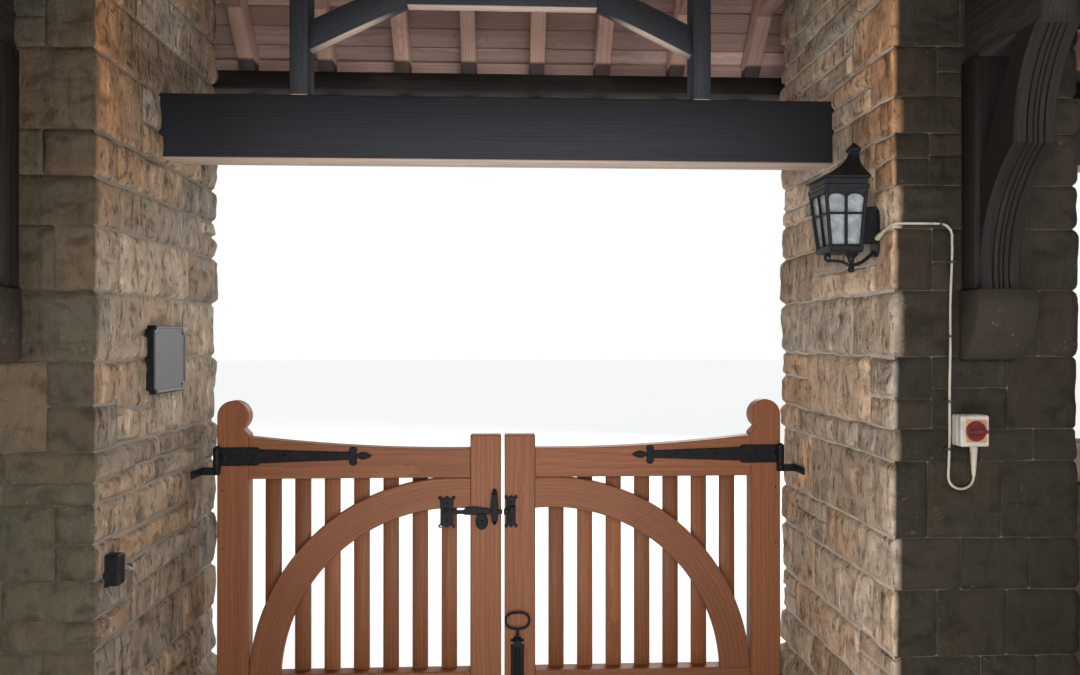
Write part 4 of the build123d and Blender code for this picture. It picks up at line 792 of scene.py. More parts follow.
endCourses = plainCourses[:-1] + (place["tieUnder"],)
endSpecs = [pierSpec(sx, sy, (place["endInner"], place["endOuter"]), endCourses, (12, 8), 5.0 + index)
            for index, (sx, sy) in enumerate(((1, 1), (-1, 1), (1, -1), (-1, -1)))]
buildWalls("endPier", endSpecs, 105, ["end_piers"])
sideSpecs, endSpecs = [], []
for sx in (-1, 1):
    for sy in (-1, 1):
        x0, x1 = sorted((sx * xOut, sx * place["endInner"]))
        for facing in (-1, 1):
            y = sy * (yIn + yOut) / 2 + facing * wallLook["half"]
            sideSpecs.append(lowWallSpec(((x0, y), (x1, y))[::-facing], facing * sy < 0, 20.0 + len(sideSpecs)))
    for facing in (-1, 1):
        x = sx * gx + facing * wallLook["half"]
        endSpecs.append(lowWallSpec(((x, -yIn), (x, yIn))[::facing], facing * sx < 0, 40.0 + len(endSpecs)))
buildWalls("sideLowWall", sideSpecs, 106, [])
buildWalls("endLowWall", endSpecs, 107, [])


def putDressed(name, parts, node, tones, seed):
    whole, rng, palette = joinParts(parts), np.random.default_rng(seed), np.asarray(tones)
    group = np.repeat(np.arange(len(parts)), [len(part["points"]) for part in parts])
    tone = palette[rng.integers(0, len(palette), len(parts))][group] * (1 + 0.12 * whole["tone"])[:, None]
    shift = rng.uniform(0, 1, len(parts))[group]
    putMesh(name, whole["points"], whole["faces"], dressedStone, "masonry", nodes=[node],
            layers={"stoneTone": tone, "stoneShift": shift, "faceRough": 0 * shift})


# coping stones with open joints, weathered to both sides
copingLook = {"half": 0.25, "edge": 0.075, "rise": 0.11, "wear": 0.006, "cuts": (0, 0.31, 0.62, 0.9),
              "tones": ((0.17, 0.142, 0.1), (0.2, 0.158, 0.11), (0.155, 0.135, 0.098))}
copingRng = np.random.default_rng(51)
half, top, edge = copingLook["half"], wallLook["top"], wallLook["top"] + copingLook["edge"]
copingOutline = np.array([(-half, top), (half, top), (half, edge), (0.0, top + copingLook["rise"]),
                          (-half, edge)])


def copingRow(axis, middle, cuts, sign=1):
    # stones along one wall, whose middle is given, cut at these places
    for a, b in zip(cuts[:-1], cuts[1:]):
        lo, hi = sorted((sign * (a + wallLook["joint"]), sign * (b - wallLook["joint"])))
        yield profileBar(copingOutline + np.array([middle, 0]), axis, lo, hi, np.eye(3)[axis], copingRng,
                         copingLook["wear"])


sideCopings, endCopings = [], []
for sx in (-1, 1):
    for sy in (-1, 1):
        sideCopings += copingRow(0, sy * (yIn + yOut) / 2, np.array(copingLook["cuts"]) + xOut, sx)
    endCopings += copingRow(1, sx * gx, np.linspace(-yIn, yIn, 6))
putDressed("sideCopings", sideCopings, "side_low_walls", copingLook["tones"], 52)
putDressed("endCopings", endCopings, "end_low_walls", copingLook["tones"], 53)


def bezier(points, count):
    # the curve (1-t)^2 a + 2t(1-t) b + t^2 c from the first point to the third
    t = np.linspace(0, 1, count)[:, None]
    a, b, c = (np.asarray(point, float) for point in points)
    return (1 - t) ** 2 * a + 2 * t * (1 - t) * b + t ** 2 * c


# corbels: a short straight face over a hollow curve back to the wall
corbelLook = {"x": 1.435, "half": 0.09, "out": 0.1, "top": 1.665, "turn": 1.6, "pull": (0.075, 1.50),
              "foot": (0.025, 1.463),
              # painted shade: the corbels' stone tones are made dark
              "seat": 0.003, "tones": ((0.034, 0.0245, 0.0165), (0.03, 0.023, 0.016))}


def buildCorbels():
    look, rng = corbelLook, np.random.default_rng(54)
    (pullOut, pullZ), (footOut, footZ), face, back = (look["pull"], look["foot"], yIn - look["out"],
                                                      yIn - look["seat"])
    curve = bezier(((face, look["turn"]), (yIn - pullOut, pullZ), (yIn - footOut, footZ)), 12)
    outline = [(back, footZ), (back, look["top"]), (face, look["top"]), *curve]
    corbel = profileBar(outline, 0, look["x"] - look["half"], look["x"] + look["half"], alongX, rng, 0.005)
    putDressed("corbelStones", fourParts(corbel, rng), "corbels", look["tones"], 55)


buildCorbels()
print("lychgate: masonry built")

# timbers
frameLook = {"half": 1.21, "deep": 0.1, "tieDeep": 0.125, "tie": (2.136, 2.353), "head": (2.76, 2.86),
             "sideTie": (1.64, 2.66),
             "post": (0.66, 0.722), "collar": 0.33, "collarUnder": 2.675, "inset": 0.025, "rakerFoot": 2.515,
             "rakerDeep": 0.09, "rakerFall": (0.085, 0.245)}
trussLook = {"plateZ": 2.484, "wallPost": (1.353, 1.491), "postFoot": 1.665, "collar": (4.05, 4.2),
             "kingHalf": 0.055,
             "ridgeDeep": 0.19, "wallPostY": 1.128, "noseR": 0.03, "noseZ": 2.42}
frontY, (tieLow, tieHigh), (headLow, headHigh) = place["frameFront"], frameLook["tie"], frameLook["head"]
beamLow, beamHigh, hammerEnd, hammerBack = (place[key]
                                            for key in ("beamUnder", "beamTop", "hammerEnd", "hammerBack"))
ridgeUnder = rafterLine(place["ridgeHalf"]) + rafterRise - trussLook["ridgeDeep"]
once, atRear, frontAndRear, atBothEnds = ([(1, 1, 1)], [(1, -1, 1)], [(1, -1, 1), (1, 1, 1)],
                                          [(-1, 1, 1), (1, 1, 1)])
tieBox = ((-frameLook["half"], frontY, tieLow), (frameLook["half"], frontY + frameLook["tieDeep"], tieHigh))
kingHalf, kingFoot = trussLook["kingHalf"], trussLook["collar"][1]
postIn, postOut = trussLook["wallPost"]
timberPlan = (  # name, finish, run, copies, seed, wear, then the low and high corners of one or two boxes
    ("frontTieBeam", stainedTimber, alongX, once, 201, 0.006, tieBox),
    ("rearTieBeam", stainedTimber, alongX, atRear, 202, 0.006, tieBox),
    ("sideTieBeams", stainedTimber, alongX, fourCorners, 203, 0.006,
     ((frameLook["sideTie"][0], frontY, tieLow), (frameLook["sideTie"][1], frontY + frameLook["tieDeep"],
                                                  tieHigh))),
    ("frameHeadBeams", stainedTimber, alongX, frontAndRear, 204, 0.004,
     ((-frameLook["half"], frontY, headLow), (frameLook["half"], frontY + frameLook["deep"], headHigh))),
    ("framePosts", stainedTimber, alongZ, fourCorners, 205, 0.004,
     ((frameLook["post"][0], frontY, tieHigh), (frameLook["post"][1], frontY + frameLook["deep"], headLow))),
    ("frameCollars", stainedTimber, alongX, frontAndRear, 206, 0.003,
     ((-frameLook["collar"], frontY + frameLook["inset"], frameLook["collarUnder"]),
      (frameLook["collar"], frontY + frameLook["deep"] - frameLook["inset"], headLow))),
    ("gableTieBeams", agedShadedTimber, alongY, atBothEnds, 208, 0.006,
     ((gx - halfBeam, -place["beamEnd"], beamLow), (gx + halfBeam, place["beamEnd"], beamHigh))),
    ("trussCollars", agedShadedTimber, alongY, atBothEnds, 209, 0.005,
     ((tx - halfBeam, -hammerEnd, trussLook["collar"][0]), (tx + halfBeam, hammerEnd, trussLook["collar"][1]))),
    ("sidePlates", agedShadedTimber, alongX, fourCorners, 210, 0.004,
     ((tx + halfBeam, hammerEnd, beamLow), (gx - halfBeam, hammerBack, trussLook["plateZ"]))),
    ("wallPosts", agedShadedTimber, alongZ, fourCorners, 211, 0.004,
     ((postIn, trussLook["wallPostY"], trussLook["postFoot"]), (postOut, yIn, beamLow))),
    ("eavesPlates", agedShadedTimber, alongX, frontAndRear, 212, 0.004,
     ((-place["plateEnd"], place["plateInner"], beamHigh),
      (place["plateEnd"], place["beamEnd"], place["plateTop"]))),
    ("kingPosts", agedShadedTimber, alongZ, atBothEnds, 213, 0.004,
     ((tx - kingHalf, -kingHalf, kingFoot), (tx + kingHalf, kingHalf, ridgeUnder)),
     ((gx - kingHalf, -kingHalf, beamHigh), (gx + kingHalf, kingHalf, ridgeUnder))),
    ("ridgeBoard", roofTimber, alongX, once, 214, 0.003,
     ((-place["plateEnd"], -place["ridgeHalf"], ridgeUnder),
      (place["plateEnd"], place["ridgeHalf"], ridgeUnder + trussLook["ridgeDeep"]))),
)
for name, finish, run, copies, seed, wear, *boxes in timberPlan:
    lows, highs = (np.concatenate(corners)
                   for corners in zip(*(mirrored(low, high, *copies) for low, high in boxes)))
    putTimber(name, [blocks(lows, highs, run, np.random.default_rng(seed), wear)], finish)


def fourTimbers(name, outline, axis, low, high, run, seed, wear, finish=agedShadedTimber):
    rng = np.random.default_rng(seed)
    putTimber(name, fourParts(profileBar(outline, axis, low, high, run, rng, wear), rng), finish)


# rakers between the posts and the collar, cut square to the head beam
postX, collarX, under, deep = (frameLook["post"][0], frameLook["collar"], frameLook["rakerFoot"],
                               frameLook["rakerDeep"])
fallLow, fallHigh = frameLook["rakerFall"]
rakerSlope = (fallHigh - fallLow) / collarX
rakerUp = deep * math.sqrt(1 + rakerSlope ** 2)
raker = [(postX, under), (collarX, frameLook["collarUnder"]), (collarX, headLow),
         (postX - (fallHigh - rakerUp) / rakerSlope, headLow), (postX, under + rakerUp)]
fourTimbers("frameRakers", raker, 1, frontY + frameLook["inset"],
            frontY + frameLook["deep"] - frameLook["inset"],
            (-0.9, 0, 0.436), 207, 0.003, stainedTimber)

# hammer beams: a plain timber with a hollow-cut nose, and the posts that stand on their ends
nose, noseR, noseZ = np.linspace(0, math.pi / 2, 8)[1:], trussLook["noseR"], trussLook["noseZ"]
hammer = [(place["beamEnd"], beamLow), (place["beamEnd"], beamHigh), (hammerEnd, beamHigh), (hammerEnd, noseZ),
          *zip(hammerEnd + noseR * np.sin(nose), noseZ - noseR + noseR * np.cos(nose)),
          (hammerEnd + noseR, beamLow)]
fourTimbers("hammerBeams", hammer, 0, tx - halfBeam, tx + halfBeam, alongY, 215, 0.006)
post = [(hammerEnd, beamHigh), (hammerBack, beamHigh), (hammerBack, rafterLine(hammerBack)),
        (hammerEnd, rafterLine(hammerEnd))]
fourTimbers("hammerPosts", post, 0, tx - halfBeam, tx + halfBeam, alongZ, 216, 0.004)

# cusped braces: two hollow curves that meet in a point, with quirks and a fillet run along the soffit
braceLook = {"foot": (1.118, 1.665), "lower": (1.1, 1.8565), "cusp": (0.968, 2.048), "upper": (0.952, 2.191),
             "head": (0.876, 2.334), "back": ((0.962, 2.334), (1.128, 2.012)), "half": 0.058, "cuts": 0.0075,
             "across": (0.06, 0.11, 0.16, 0.36, 0.41, 0.46, 0.9, 1, 1),
             "depth": (0, 0.9, 0, 0, 1.1, 0, 0, 0.6, 2.2)}


def arcThrough(a, b, c, count):
    # the circle through three points, walked from the first to the last by equal angles
    a, b, c = (np.asarray(p, float) for p in (a, b, c))
    d = 2 * (a[0] * (b[1] - c[1]) + b[0] * (c[1] - a[1]) + c[0] * (a[1] - b[1]))
    squares = np.array([a @ a, b @ b, c @ c])
    middle = np.array([squares @ [b[1] - c[1], c[1] - a[1], a[1] - b[1]],
                       squares @ [c[0] - b[0], a[0] - c[0], b[0] - a[0]]]) / d
    start, mid, stop = (math.atan2(*(p - middle)[::-1]) for p in (a, b, c))
    sweep, part = ((end - start + math.pi) % (2 * math.pi) - math.pi for end in (stop, mid))
    if abs(part) > abs(sweep):
        sweep -= math.copysign(2 * math.pi, sweep)
    angle = start + np.linspace(0, 1, count) * sweep
    return middle + np.linalg.norm(a - middle) * np.stack([np.cos(angle), np.sin(angle)], axis=1)


def cuspedBrace(rng):
    # rows follow the soffit and the back together; columns cross the thickness, and the soffit is drawn in at
    # the quirks
    look = braceLook
    soffit = np.concatenate([arcThrough(look["foot"], look["lower"], look["cusp"], 22)[:-1],
                             arcThrough(look["cusp"], look["upper"], look["head"], 14)])
    (headY, headZ), (footY, footZ) = look["back"]
    slant = np.clip((soffit[:, 1] - footZ) / (headZ - footZ), 0, 1)
    back = np.stack([footY + (headY - footY) * slant, soffit[:, 1]], axis=1)
    tangent = unit(np.gradient(soffit, axis=0))
    inward = np.stack([tangent[:, 1], -tangent[:, 0]], axis=1)
    inward *= np.sign((inward * (back - soffit)).sum(axis=1) + 1e-9)[:, None]
    side, drop = np.array(look["across"]) * look["half"], np.array(look["depth"]) * look["cuts"]
    across, depth = np.concatenate([-side[::-1], side]), np.concatenate([drop[::-1], drop])
    front = soffit[:, None, :] + inward[:, None, :] * depth[None, :, None]
    rows, half = len(soffit), look["half"]
    front = np.concatenate([np.broadcast_to(across[None, :, None], (rows, len(across), 1)), front], axis=2)
    rear = np.stack([np.column_stack([np.full(rows, x), back]) for x in (half, 0.0, -half)], axis=1)
    ring = np.concatenate([front, rear], axis=1)
    length = np.concatenate([[0], np.cumsum(np.linalg.norm(np.diff(soffit, axis=0), axis=1))])
    grain = np.stack([np.repeat(length, ring.shape[1]), ring[:, :, 0].ravel() + 0.02,
                      np.linalg.norm(ring[:, :, 1:] - soffit[:, None], axis=2).ravel() + 0.06], axis=1)
    points = ring.reshape(-1, 3) + np.array([tx, 0, 0])
    return {"points": points, "faces": ringFaces(ring), "grain": grain + rng.uniform(-0.1, 0.1, 3),
            "tone": np.zeros(len(points))}


braceRng = np.random.default_rng(217)
putTimber("cuspedBraces", fourParts(cuspedBrace(braceRng), braceRng), agedShadedTimber, smooth=32)

# roof: rafters, boards, tiles
roofLook = {"spread": (0.127, 0.373, 0.653, 0.942), "outer": 1.75, "step": 0.8 / 3, "rafter": 0.062,
            "tieHalf": 0.031,
            "tieDeep": 0.1, "board": 0.082, "boardThick": 0.02, "gap": 0.0015, "gauge": 0.1, "tileWide": 0.165,
            "tileLong": 0.265, "tileThick": 0.011, "crown": 0.0022, "reach": 2.6,
            "clay": ((0.27, 0.105, 0.062), (0.235, 0.092, 0.058), (0.30, 0.125, 0.072), (0.20, 0.085, 0.06),
                     (0.17, 0.085, 0.066), (0.255, 0.12, 0.08))}
rafterPlaces = [xIn * share for share in roofLook["spread"]] + [roofLook["outer"] + k * roofLook["step"]
                                                                for k in range(4)]
ridgeHalf, plateIn, plateOut, eaves = (place[key] for key in ("ridgeHalf", "plateInner", "beamEnd", "eavesY"))
rafterOutline = [(ridgeHalf, rafterLine(ridgeHalf)), (plateIn, place["plateTop"]),
                 (plateOut, place["plateTop"]),
                 (plateOut, rafterLine(plateOut)), (eaves, rafterLine(eaves)),
                 (eaves, rafterLine(eaves) + rafterRise),
                 (ridgeHalf, rafterLine(ridgeHalf) + rafterRise)]
rafterRng = np.random.default_rng(220)
downSlope = (0, roofCos, -roofSin)
for name, places, half, finish in (("commonRafters", rafterPlaces, roofLook["rafter"] / 2, roofTimber),
                                   ("principalRafters", (tx, gx), halfBeam, agedShadedTimber)):
    parts = []
    for x in places:
        parts += fourParts(profileBar(rafterOutline, 0, x - half, x + half, downSlope, rafterRng, 0.003),
                           rafterRng)
    putTimber(name, parts, finish, "roof_timber")
tieUnder, tieTop, tieHalf = place["tieUnder"], place["tieUnder"] + roofLook["tieDeep"], roofLook["tieHalf"]
tieEnd = plateIn - (tieUnder - place["plateTop"]) / roofSlope
tieShort = tieEnd - roofLook["tieDeep"] / roofSlope
ties = [profileBar([(-tieEnd, tieUnder), (tieEnd, tieUnder), (tieShort, tieTop), (-tieShort, tieTop)], 0,
                   s * x - tieHalf, s * x + tieHalf, alongY, rafterRng, 0.003) for x in rafterPlaces
                   for s in (-1, 1)]
putTimber("rafterTies", ties, roofTimber)
ridgeTop = rafterLine(0) + rafterRise  # meeting line of the two boarded slopes
slopeLength = roofLook["reach"] / roofCos


def slopeTurn(side):
    # rows are the directions along the ridge, down the slope and out of it
    return np.array([[1, 0, 0], [0, side * roofCos, -roofSin], [0, side * roofSin, roofCos]])


def layBoards(side, seed):
    # boards laid edge to edge up the slope, butted over rafters, each a little out of line with the next
    rng, gap, end = np.random.default_rng(seed), roofLook["gap"], place["plateEnd"] - 0.002
    count = int(slopeLength / roofLook["board"])
    width = slopeLength / count
    outer, inner = np.array(rafterPlaces[4:]), np.array(rafterPlaces[:4])
    joints = np.sort(np.concatenate([-outer, [-gx, -tx, tx, gx], -inner, rafterPlaces]))
    lows, highs = [], []
    for row in range(count):
        cuts = np.sort(rng.choice(joints[1:-1], 2 + row % 2, replace=False))
        cuts = np.concatenate([[-end], cuts[np.concatenate([[True], np.diff(cuts) > 0.5])], [end]])
        for a, b in zip(cuts[:-1], cuts[1:]):
            lows.append((a + 0.001, row * width + gap + (0.012 if row == 0 else 0),
                         0.0005 + rng.uniform(0, 0.002)))
            highs.append((b - 0.001, (row + 1) * width - gap, roofLook["boardThick"] - 0.001))
    part = blocks(lows, highs, alongX, rng, 0.002, slopeTurn(side), (0, 0, ridgeTop))
    return part if side > 0 else {**part, "faces": [item[:, ::-1] for item in part["faces"]]}


def tileMaterial():
    # clay burnt unevenly: a tone for each tile, cloudy firing marks, sanded face, moss near the tails
    material, tree, shader = startMaterial("plainClayTile", 0.86, specular=0.25)
    spot, coord = spotOf(tree), spotOf(tree, layerOf(tree, "clayTone", "Vector"), (11, 11, 11))
    moss = times(tree, patches(tree, spot, 34.0, 4.0, 0.65, 0.58, 0.68),
                 patches(tree, spot, 2.2, 3.0, 0.5, 0.48, 0.62))
    tone = layerOf(tree, "clayTone", "Color")
    for share, tint in ((patches(tree, coord, 14.0, 4.0, 0.6, 0.4, 0.68, 0.0, 0.55), (0.13, 0.075, 0.06)),
                        (patches(tree, spot, 1.3, 4.0, 0.6, 0.5, 0.7, 0.0, 0.45), (0.115, 0.10, 0.07)),
                        (times(tree, moss, 0.75), (0.12, 0.14, 0.055))):
        tone = mixTone(tree, share, tone, tint)
    sand, tone = sanded(tree, coord, 260.0, tone, 0.3, 0.6, 1.35)
    finishWith(tree, shader, tone, None, ((noiseOf(tree, coord, 30.0, 4.0), 0.25), (sand, 0.3)), 0.003)
    return material


def layTiles(side, seed):
    # plain tiles in half bond: each row's tails lie one gauge below the last, heads rest under the rows above;
    # a tile has three points across its top and three across its underside, at the tail and at the head
    rng, look, half = np.random.default_rng(seed), roofLook, place["roofHalf"]
    per = int(round(2 * half / look["tileWide"]))
    step = 2 * half / per
    row, col = np.meshgrid(np.arange(int(slopeLength / look["gauge"])), np.arange(per + 1), indexing="ij")
    left = -half + (col - 0.5 * (row % 2)) * step
    left, right = np.maximum(left, -half), np.minimum(left + step, half)
    keep = (right - left) > 0.03
    row, left, right = row[keep], left[keep], right[keep]
    count = len(row)
    tail = slopeLength - row * look["gauge"] + rng.uniform(-0.003, 0.003, count) - 0.003
    head = np.maximum(tail - look["tileLong"], 0.0)
    across, crown = np.array([0.0, 0.5, 1.0]), np.array([0.0, look["crown"], 0.0])
    lift, skew = rng.uniform(0, 0.0022, count), rng.uniform(-0.0012, 0.0012, count)[:, None] * (across * 2 - 1)
    topTail = place["roofSkin"] - 0.003 + lift
    points = np.zeros((count, 2, 2, 3, 3))  # tile, top or underside, tail or head, across, place
    points[..., 0] = ((left + 0.0012)[:, None] + (right - left - 0.0024)[:, None] * across)[:, None, None]
    ends = ((tail[:, None] + skew, topTail), (head[:, None] + 0 * skew, topTail - 0.11 * (tail - head)))
    for end, (down, high) in enumerate(ends):
        points[:, :, end, :, 1] = down[:, None]
        points[:, :, end, :, 2] = (high[:, None] + crown)[:, None] - np.array([0, look["tileThick"]])[:, None]
    quads = []
    for k in range(2):  # over, under, tail edge and head edge of each half
        a, b, c, d = k, k + 1, k + 3, k + 4
        quads += [[a, b, d, c], [b + 6, a + 6, c + 6, d + 6], [b, a, a + 6, b + 6], [c, d, d + 6, c + 6]]
    quads = np.array(quads + [[0, 3, 9, 6], [5, 2, 8, 11]])
    faces = (quads[None] + (np.arange(count) * 12)[:, None, None]).reshape(-1, 4)
    tone = clayTones[rng.integers(0, len(clayTones), count)] * rng.uniform(0.8, 1.2, (count, 1))
    return (points.reshape(-1, 3) @ slopeTurn(side) + [0, 0, ridgeTop], faces[:, ::-side],
            np.repeat(tone, 12, axis=0))


clayTile, clayTones = tileMaterial(), np.array(roofLook["clay"])
for side, word in ((1, "front"), (-1, "rear")):
    putTimber(word + "RoofBoards", [layBoards(side, 230 + side)], boardTimber, nodes=())
    points, faces, tone = layTiles(side, 240 + side)
    putMesh(word + "RoofTiles", points, [faces], clayTile, "roof_tiles", nodes=[word + "_roof_slope"],
            layers={"clayTone": tone})
    print("lychgate:", word, "slope tiled,", len(points) // 12, "tiles")

# ridge tiles, 300 mm long with the bedding between them, over the meeting of the slopes
ridgeLook = {"length": 0.301, "thick": 0.016, "sides": 15, "proud": 0.034, "cover": 0.095, "joint": 0.004,
             "drop": 0.05,
             "bedding": (0.33, 0.29, 0.24)}
seatY, peak = ridgeLook["cover"] * roofSin, ridgeTop + skinRise


def ridgeTiles(rng):
    # arcs whose feet rest on the slopes, from the rise and the half width of the seat
    high, half = seatY * roofSlope + ridgeLook["proud"], place["roofHalf"]
    radius = (seatY ** 2 + high ** 2) / (2 * high)
    foot = math.asin((radius - high) / radius)
    turn = np.linspace(foot, math.pi - foot, ridgeLook["sides"])
    crown = np.stack([radius * np.cos(turn), peak + ridgeLook["proud"] - radius + radius * np.sin(turn)],
                     axis=1)
    inner = crown + unit(np.array([0, peak - ridgeLook["drop"]]) - crown) * ridgeLook["thick"]
    ring = np.concatenate([crown, inner[::-1]])
    edges = np.linspace(-half, half, int(round(2 * half / ridgeLook["length"])) + 1)
    for a, b in zip(edges[:-1], edges[1:]):
        tile = profileBar(ring, 0, a + ridgeLook["joint"], b - ridgeLook["joint"], alongX, rng, 0.002)
        tile["points"][:, 2] += rng.uniform(-0.002, 0.0)
        yield tile


ridgeRng = np.random.default_rng(250)
ridgeParts = list(ridgeTiles(ridgeRng))
whole = joinParts(ridgeParts)
tone = clayTones[ridgeRng.integers(0, len(clayTones), len(ridgeParts))] * 1.05
tone = np.repeat(tone, [len(part["points"]) for part in ridgeParts], axis=0)
putMesh("ridgeTiles", whole["points"], whole["faces"], clayTile, "roof_tiles", layers={"clayTone": tone},
        smooth=35)
foot = peak - seatY * roofSlope - 0.004
bedding = profileBar([(seatY - 0.008, foot), (0, peak + 0.016), (0.008 - seatY, foot), (0, peak - 0.03)], 0,
                     0.002 - place["roofHalf"], place["roofHalf"] - 0.002, alongX, ridgeRng, 0.001)
putMesh("ridgeBedding", bedding["points"], bedding["faces"], limeMortar, "masonry", nodes=(),
        layers={"stoneTone": np.tile(ridgeLook["bedding"], (len(bedding["points"]), 1))})

# barge boards with a run of beading, boarded gables and the closing boards between the rafter feet
bargeLook = {"deep": 0.21, "bead": (0.02, 0.045), "apex": 0.001, "out": 0.038, "proud": 0.006}
gableLook = {"boards": 33, "gap": 0.0015, "thick": 0.024, "wear": 0.0025, "foot": 0.001, "apexDrop": 0.03,
             "bay": (1.2, 2.14)}
closingLook = {"y": (2.40, 2.42), "z": (2.666, 2.725), "gap": 0.001}


def buildBarges():
    rng, apex = np.random.default_rng(260), bargeLook["apex"]
    deep, face, foot = (bargeLook["deep"] / roofCos, place["plateEnd"] + bargeLook["out"],
                        rafterLine(eaves) + rafterRise)
    parts = []
    for low, high, x0, x1, wear in ((0, deep, place["plateEnd"], face, 0.004),
                                    (*bargeLook["bead"], face - 0.001, face + bargeLook["proud"], 0.003)):
        outline = [(apex, ridgeTop - deep + low), (eaves, foot - deep + low), (eaves, foot - deep + high),
                   (apex, ridgeTop - deep + high)]
        parts.append(profileBar(outline, 0, x0, x1, downSlope, rng, wear))
    putTimber("bargeBoards", [copy for part in parts for copy in fourParts(part, rng)], agedShadedTimber)


def buildGables():
    # upright boards cut to the rafters, those over the end bays cut to the ties
    rng, look, parts = np.random.default_rng(261), gableLook, []
    edges = np.linspace(-plateIn, plateIn, look["boards"] + 1)
    for a, b in zip(edges[:-1] + look["gap"], edges[1:] - look["gap"]):
        topA, topB = (rafterLine(y) + rafterRise - 0.001 for y in (a, b))
        overBay = min(abs(a), abs(b)) > look["bay"][0] and max(abs(a), abs(b)) < look["bay"][1]
        low = (place["tieUnder"] if overBay else beamHigh) + look["foot"]
        peakPoint = [(0, ridgeTop - look["apexDrop"])] if a * b < 0 else []
        outline = [(a, low), (b, low), (b, topB), *peakPoint, (a, topA)]
        board = profileBar(outline, 0, gx + halfBeam, gx + halfBeam + look["thick"], alongZ, rng, look["wear"])
        parts += [board, *fourParts(board, rng, [(-1, 1, 1)])]
    putTimber("gableBoards", parts, agedShadedTimber, nodes=["gable_boarding"])


buildBarges()
buildGables()
feet = sorted([(s * x, tieHalf) for x in rafterPlaces for s in (-1, 1)] + [(s * x, halfBeam) for x in (tx, gx)
                                                                           for s in (-1, 1)])
(y0, y1), (z0, z1), gap = closingLook["y"], closingLook["z"], closingLook["gap"]
lows, highs = (np.concatenate(ends) for ends in zip(*(
    mirrored((a + wa + gap, y0, z0), (b - wb - gap, y1, z1), *frontAndRear)
    for (a, wa), (b, wb) in zip(feet[:-1], feet[1:]))))
putTimber("rafterFootBoards", [blocks(lows, highs, alongX, np.random.default_rng(262), 0.002)], boardTimber,
          nodes=())
print("lychgate: timbers and roof built")

# gate leaves
gateLook = {"thick": 0.06, "outer": 1.097, "meet": 0.0065, "stile": 0.12, "foot": 0.06, "meetTop": 1.15,
            "shoulder": 1.146, "ballZ": 1.226, "ballR": 0.06, "neck": 0.097, "notchRise": 0.035,
            "notchDrop": 0.025,
            "railUnder": 0.985, "railLow": 1.098, "sag": 0.014, "bottomTop": 0.231, "bottomFoot": 0.085,
            "archThick": 0.034, "archWide": 0.1175, "archCentre": 0.0605, "archFit": (0.0005, 0.0003),
            "archShare": (0, 0.03, 0.35, 0.65, 0.97, 1), "archDrop": (0.003, 0, 0, 0, 0, 0.003),
            "picket": 0.06, "picketThick": 0.022, "pickets": 7, "wear": 0.004, "railWear": 0.0025,
            "pegs": (0.13, 0.19, 0.72, 0.94), "pegTurn": ((0.0035, -0.0006), (0.0035, 0.0012), (0.003, 0.0016))}
face, outer = place["gateFace"], gateLook["outer"]


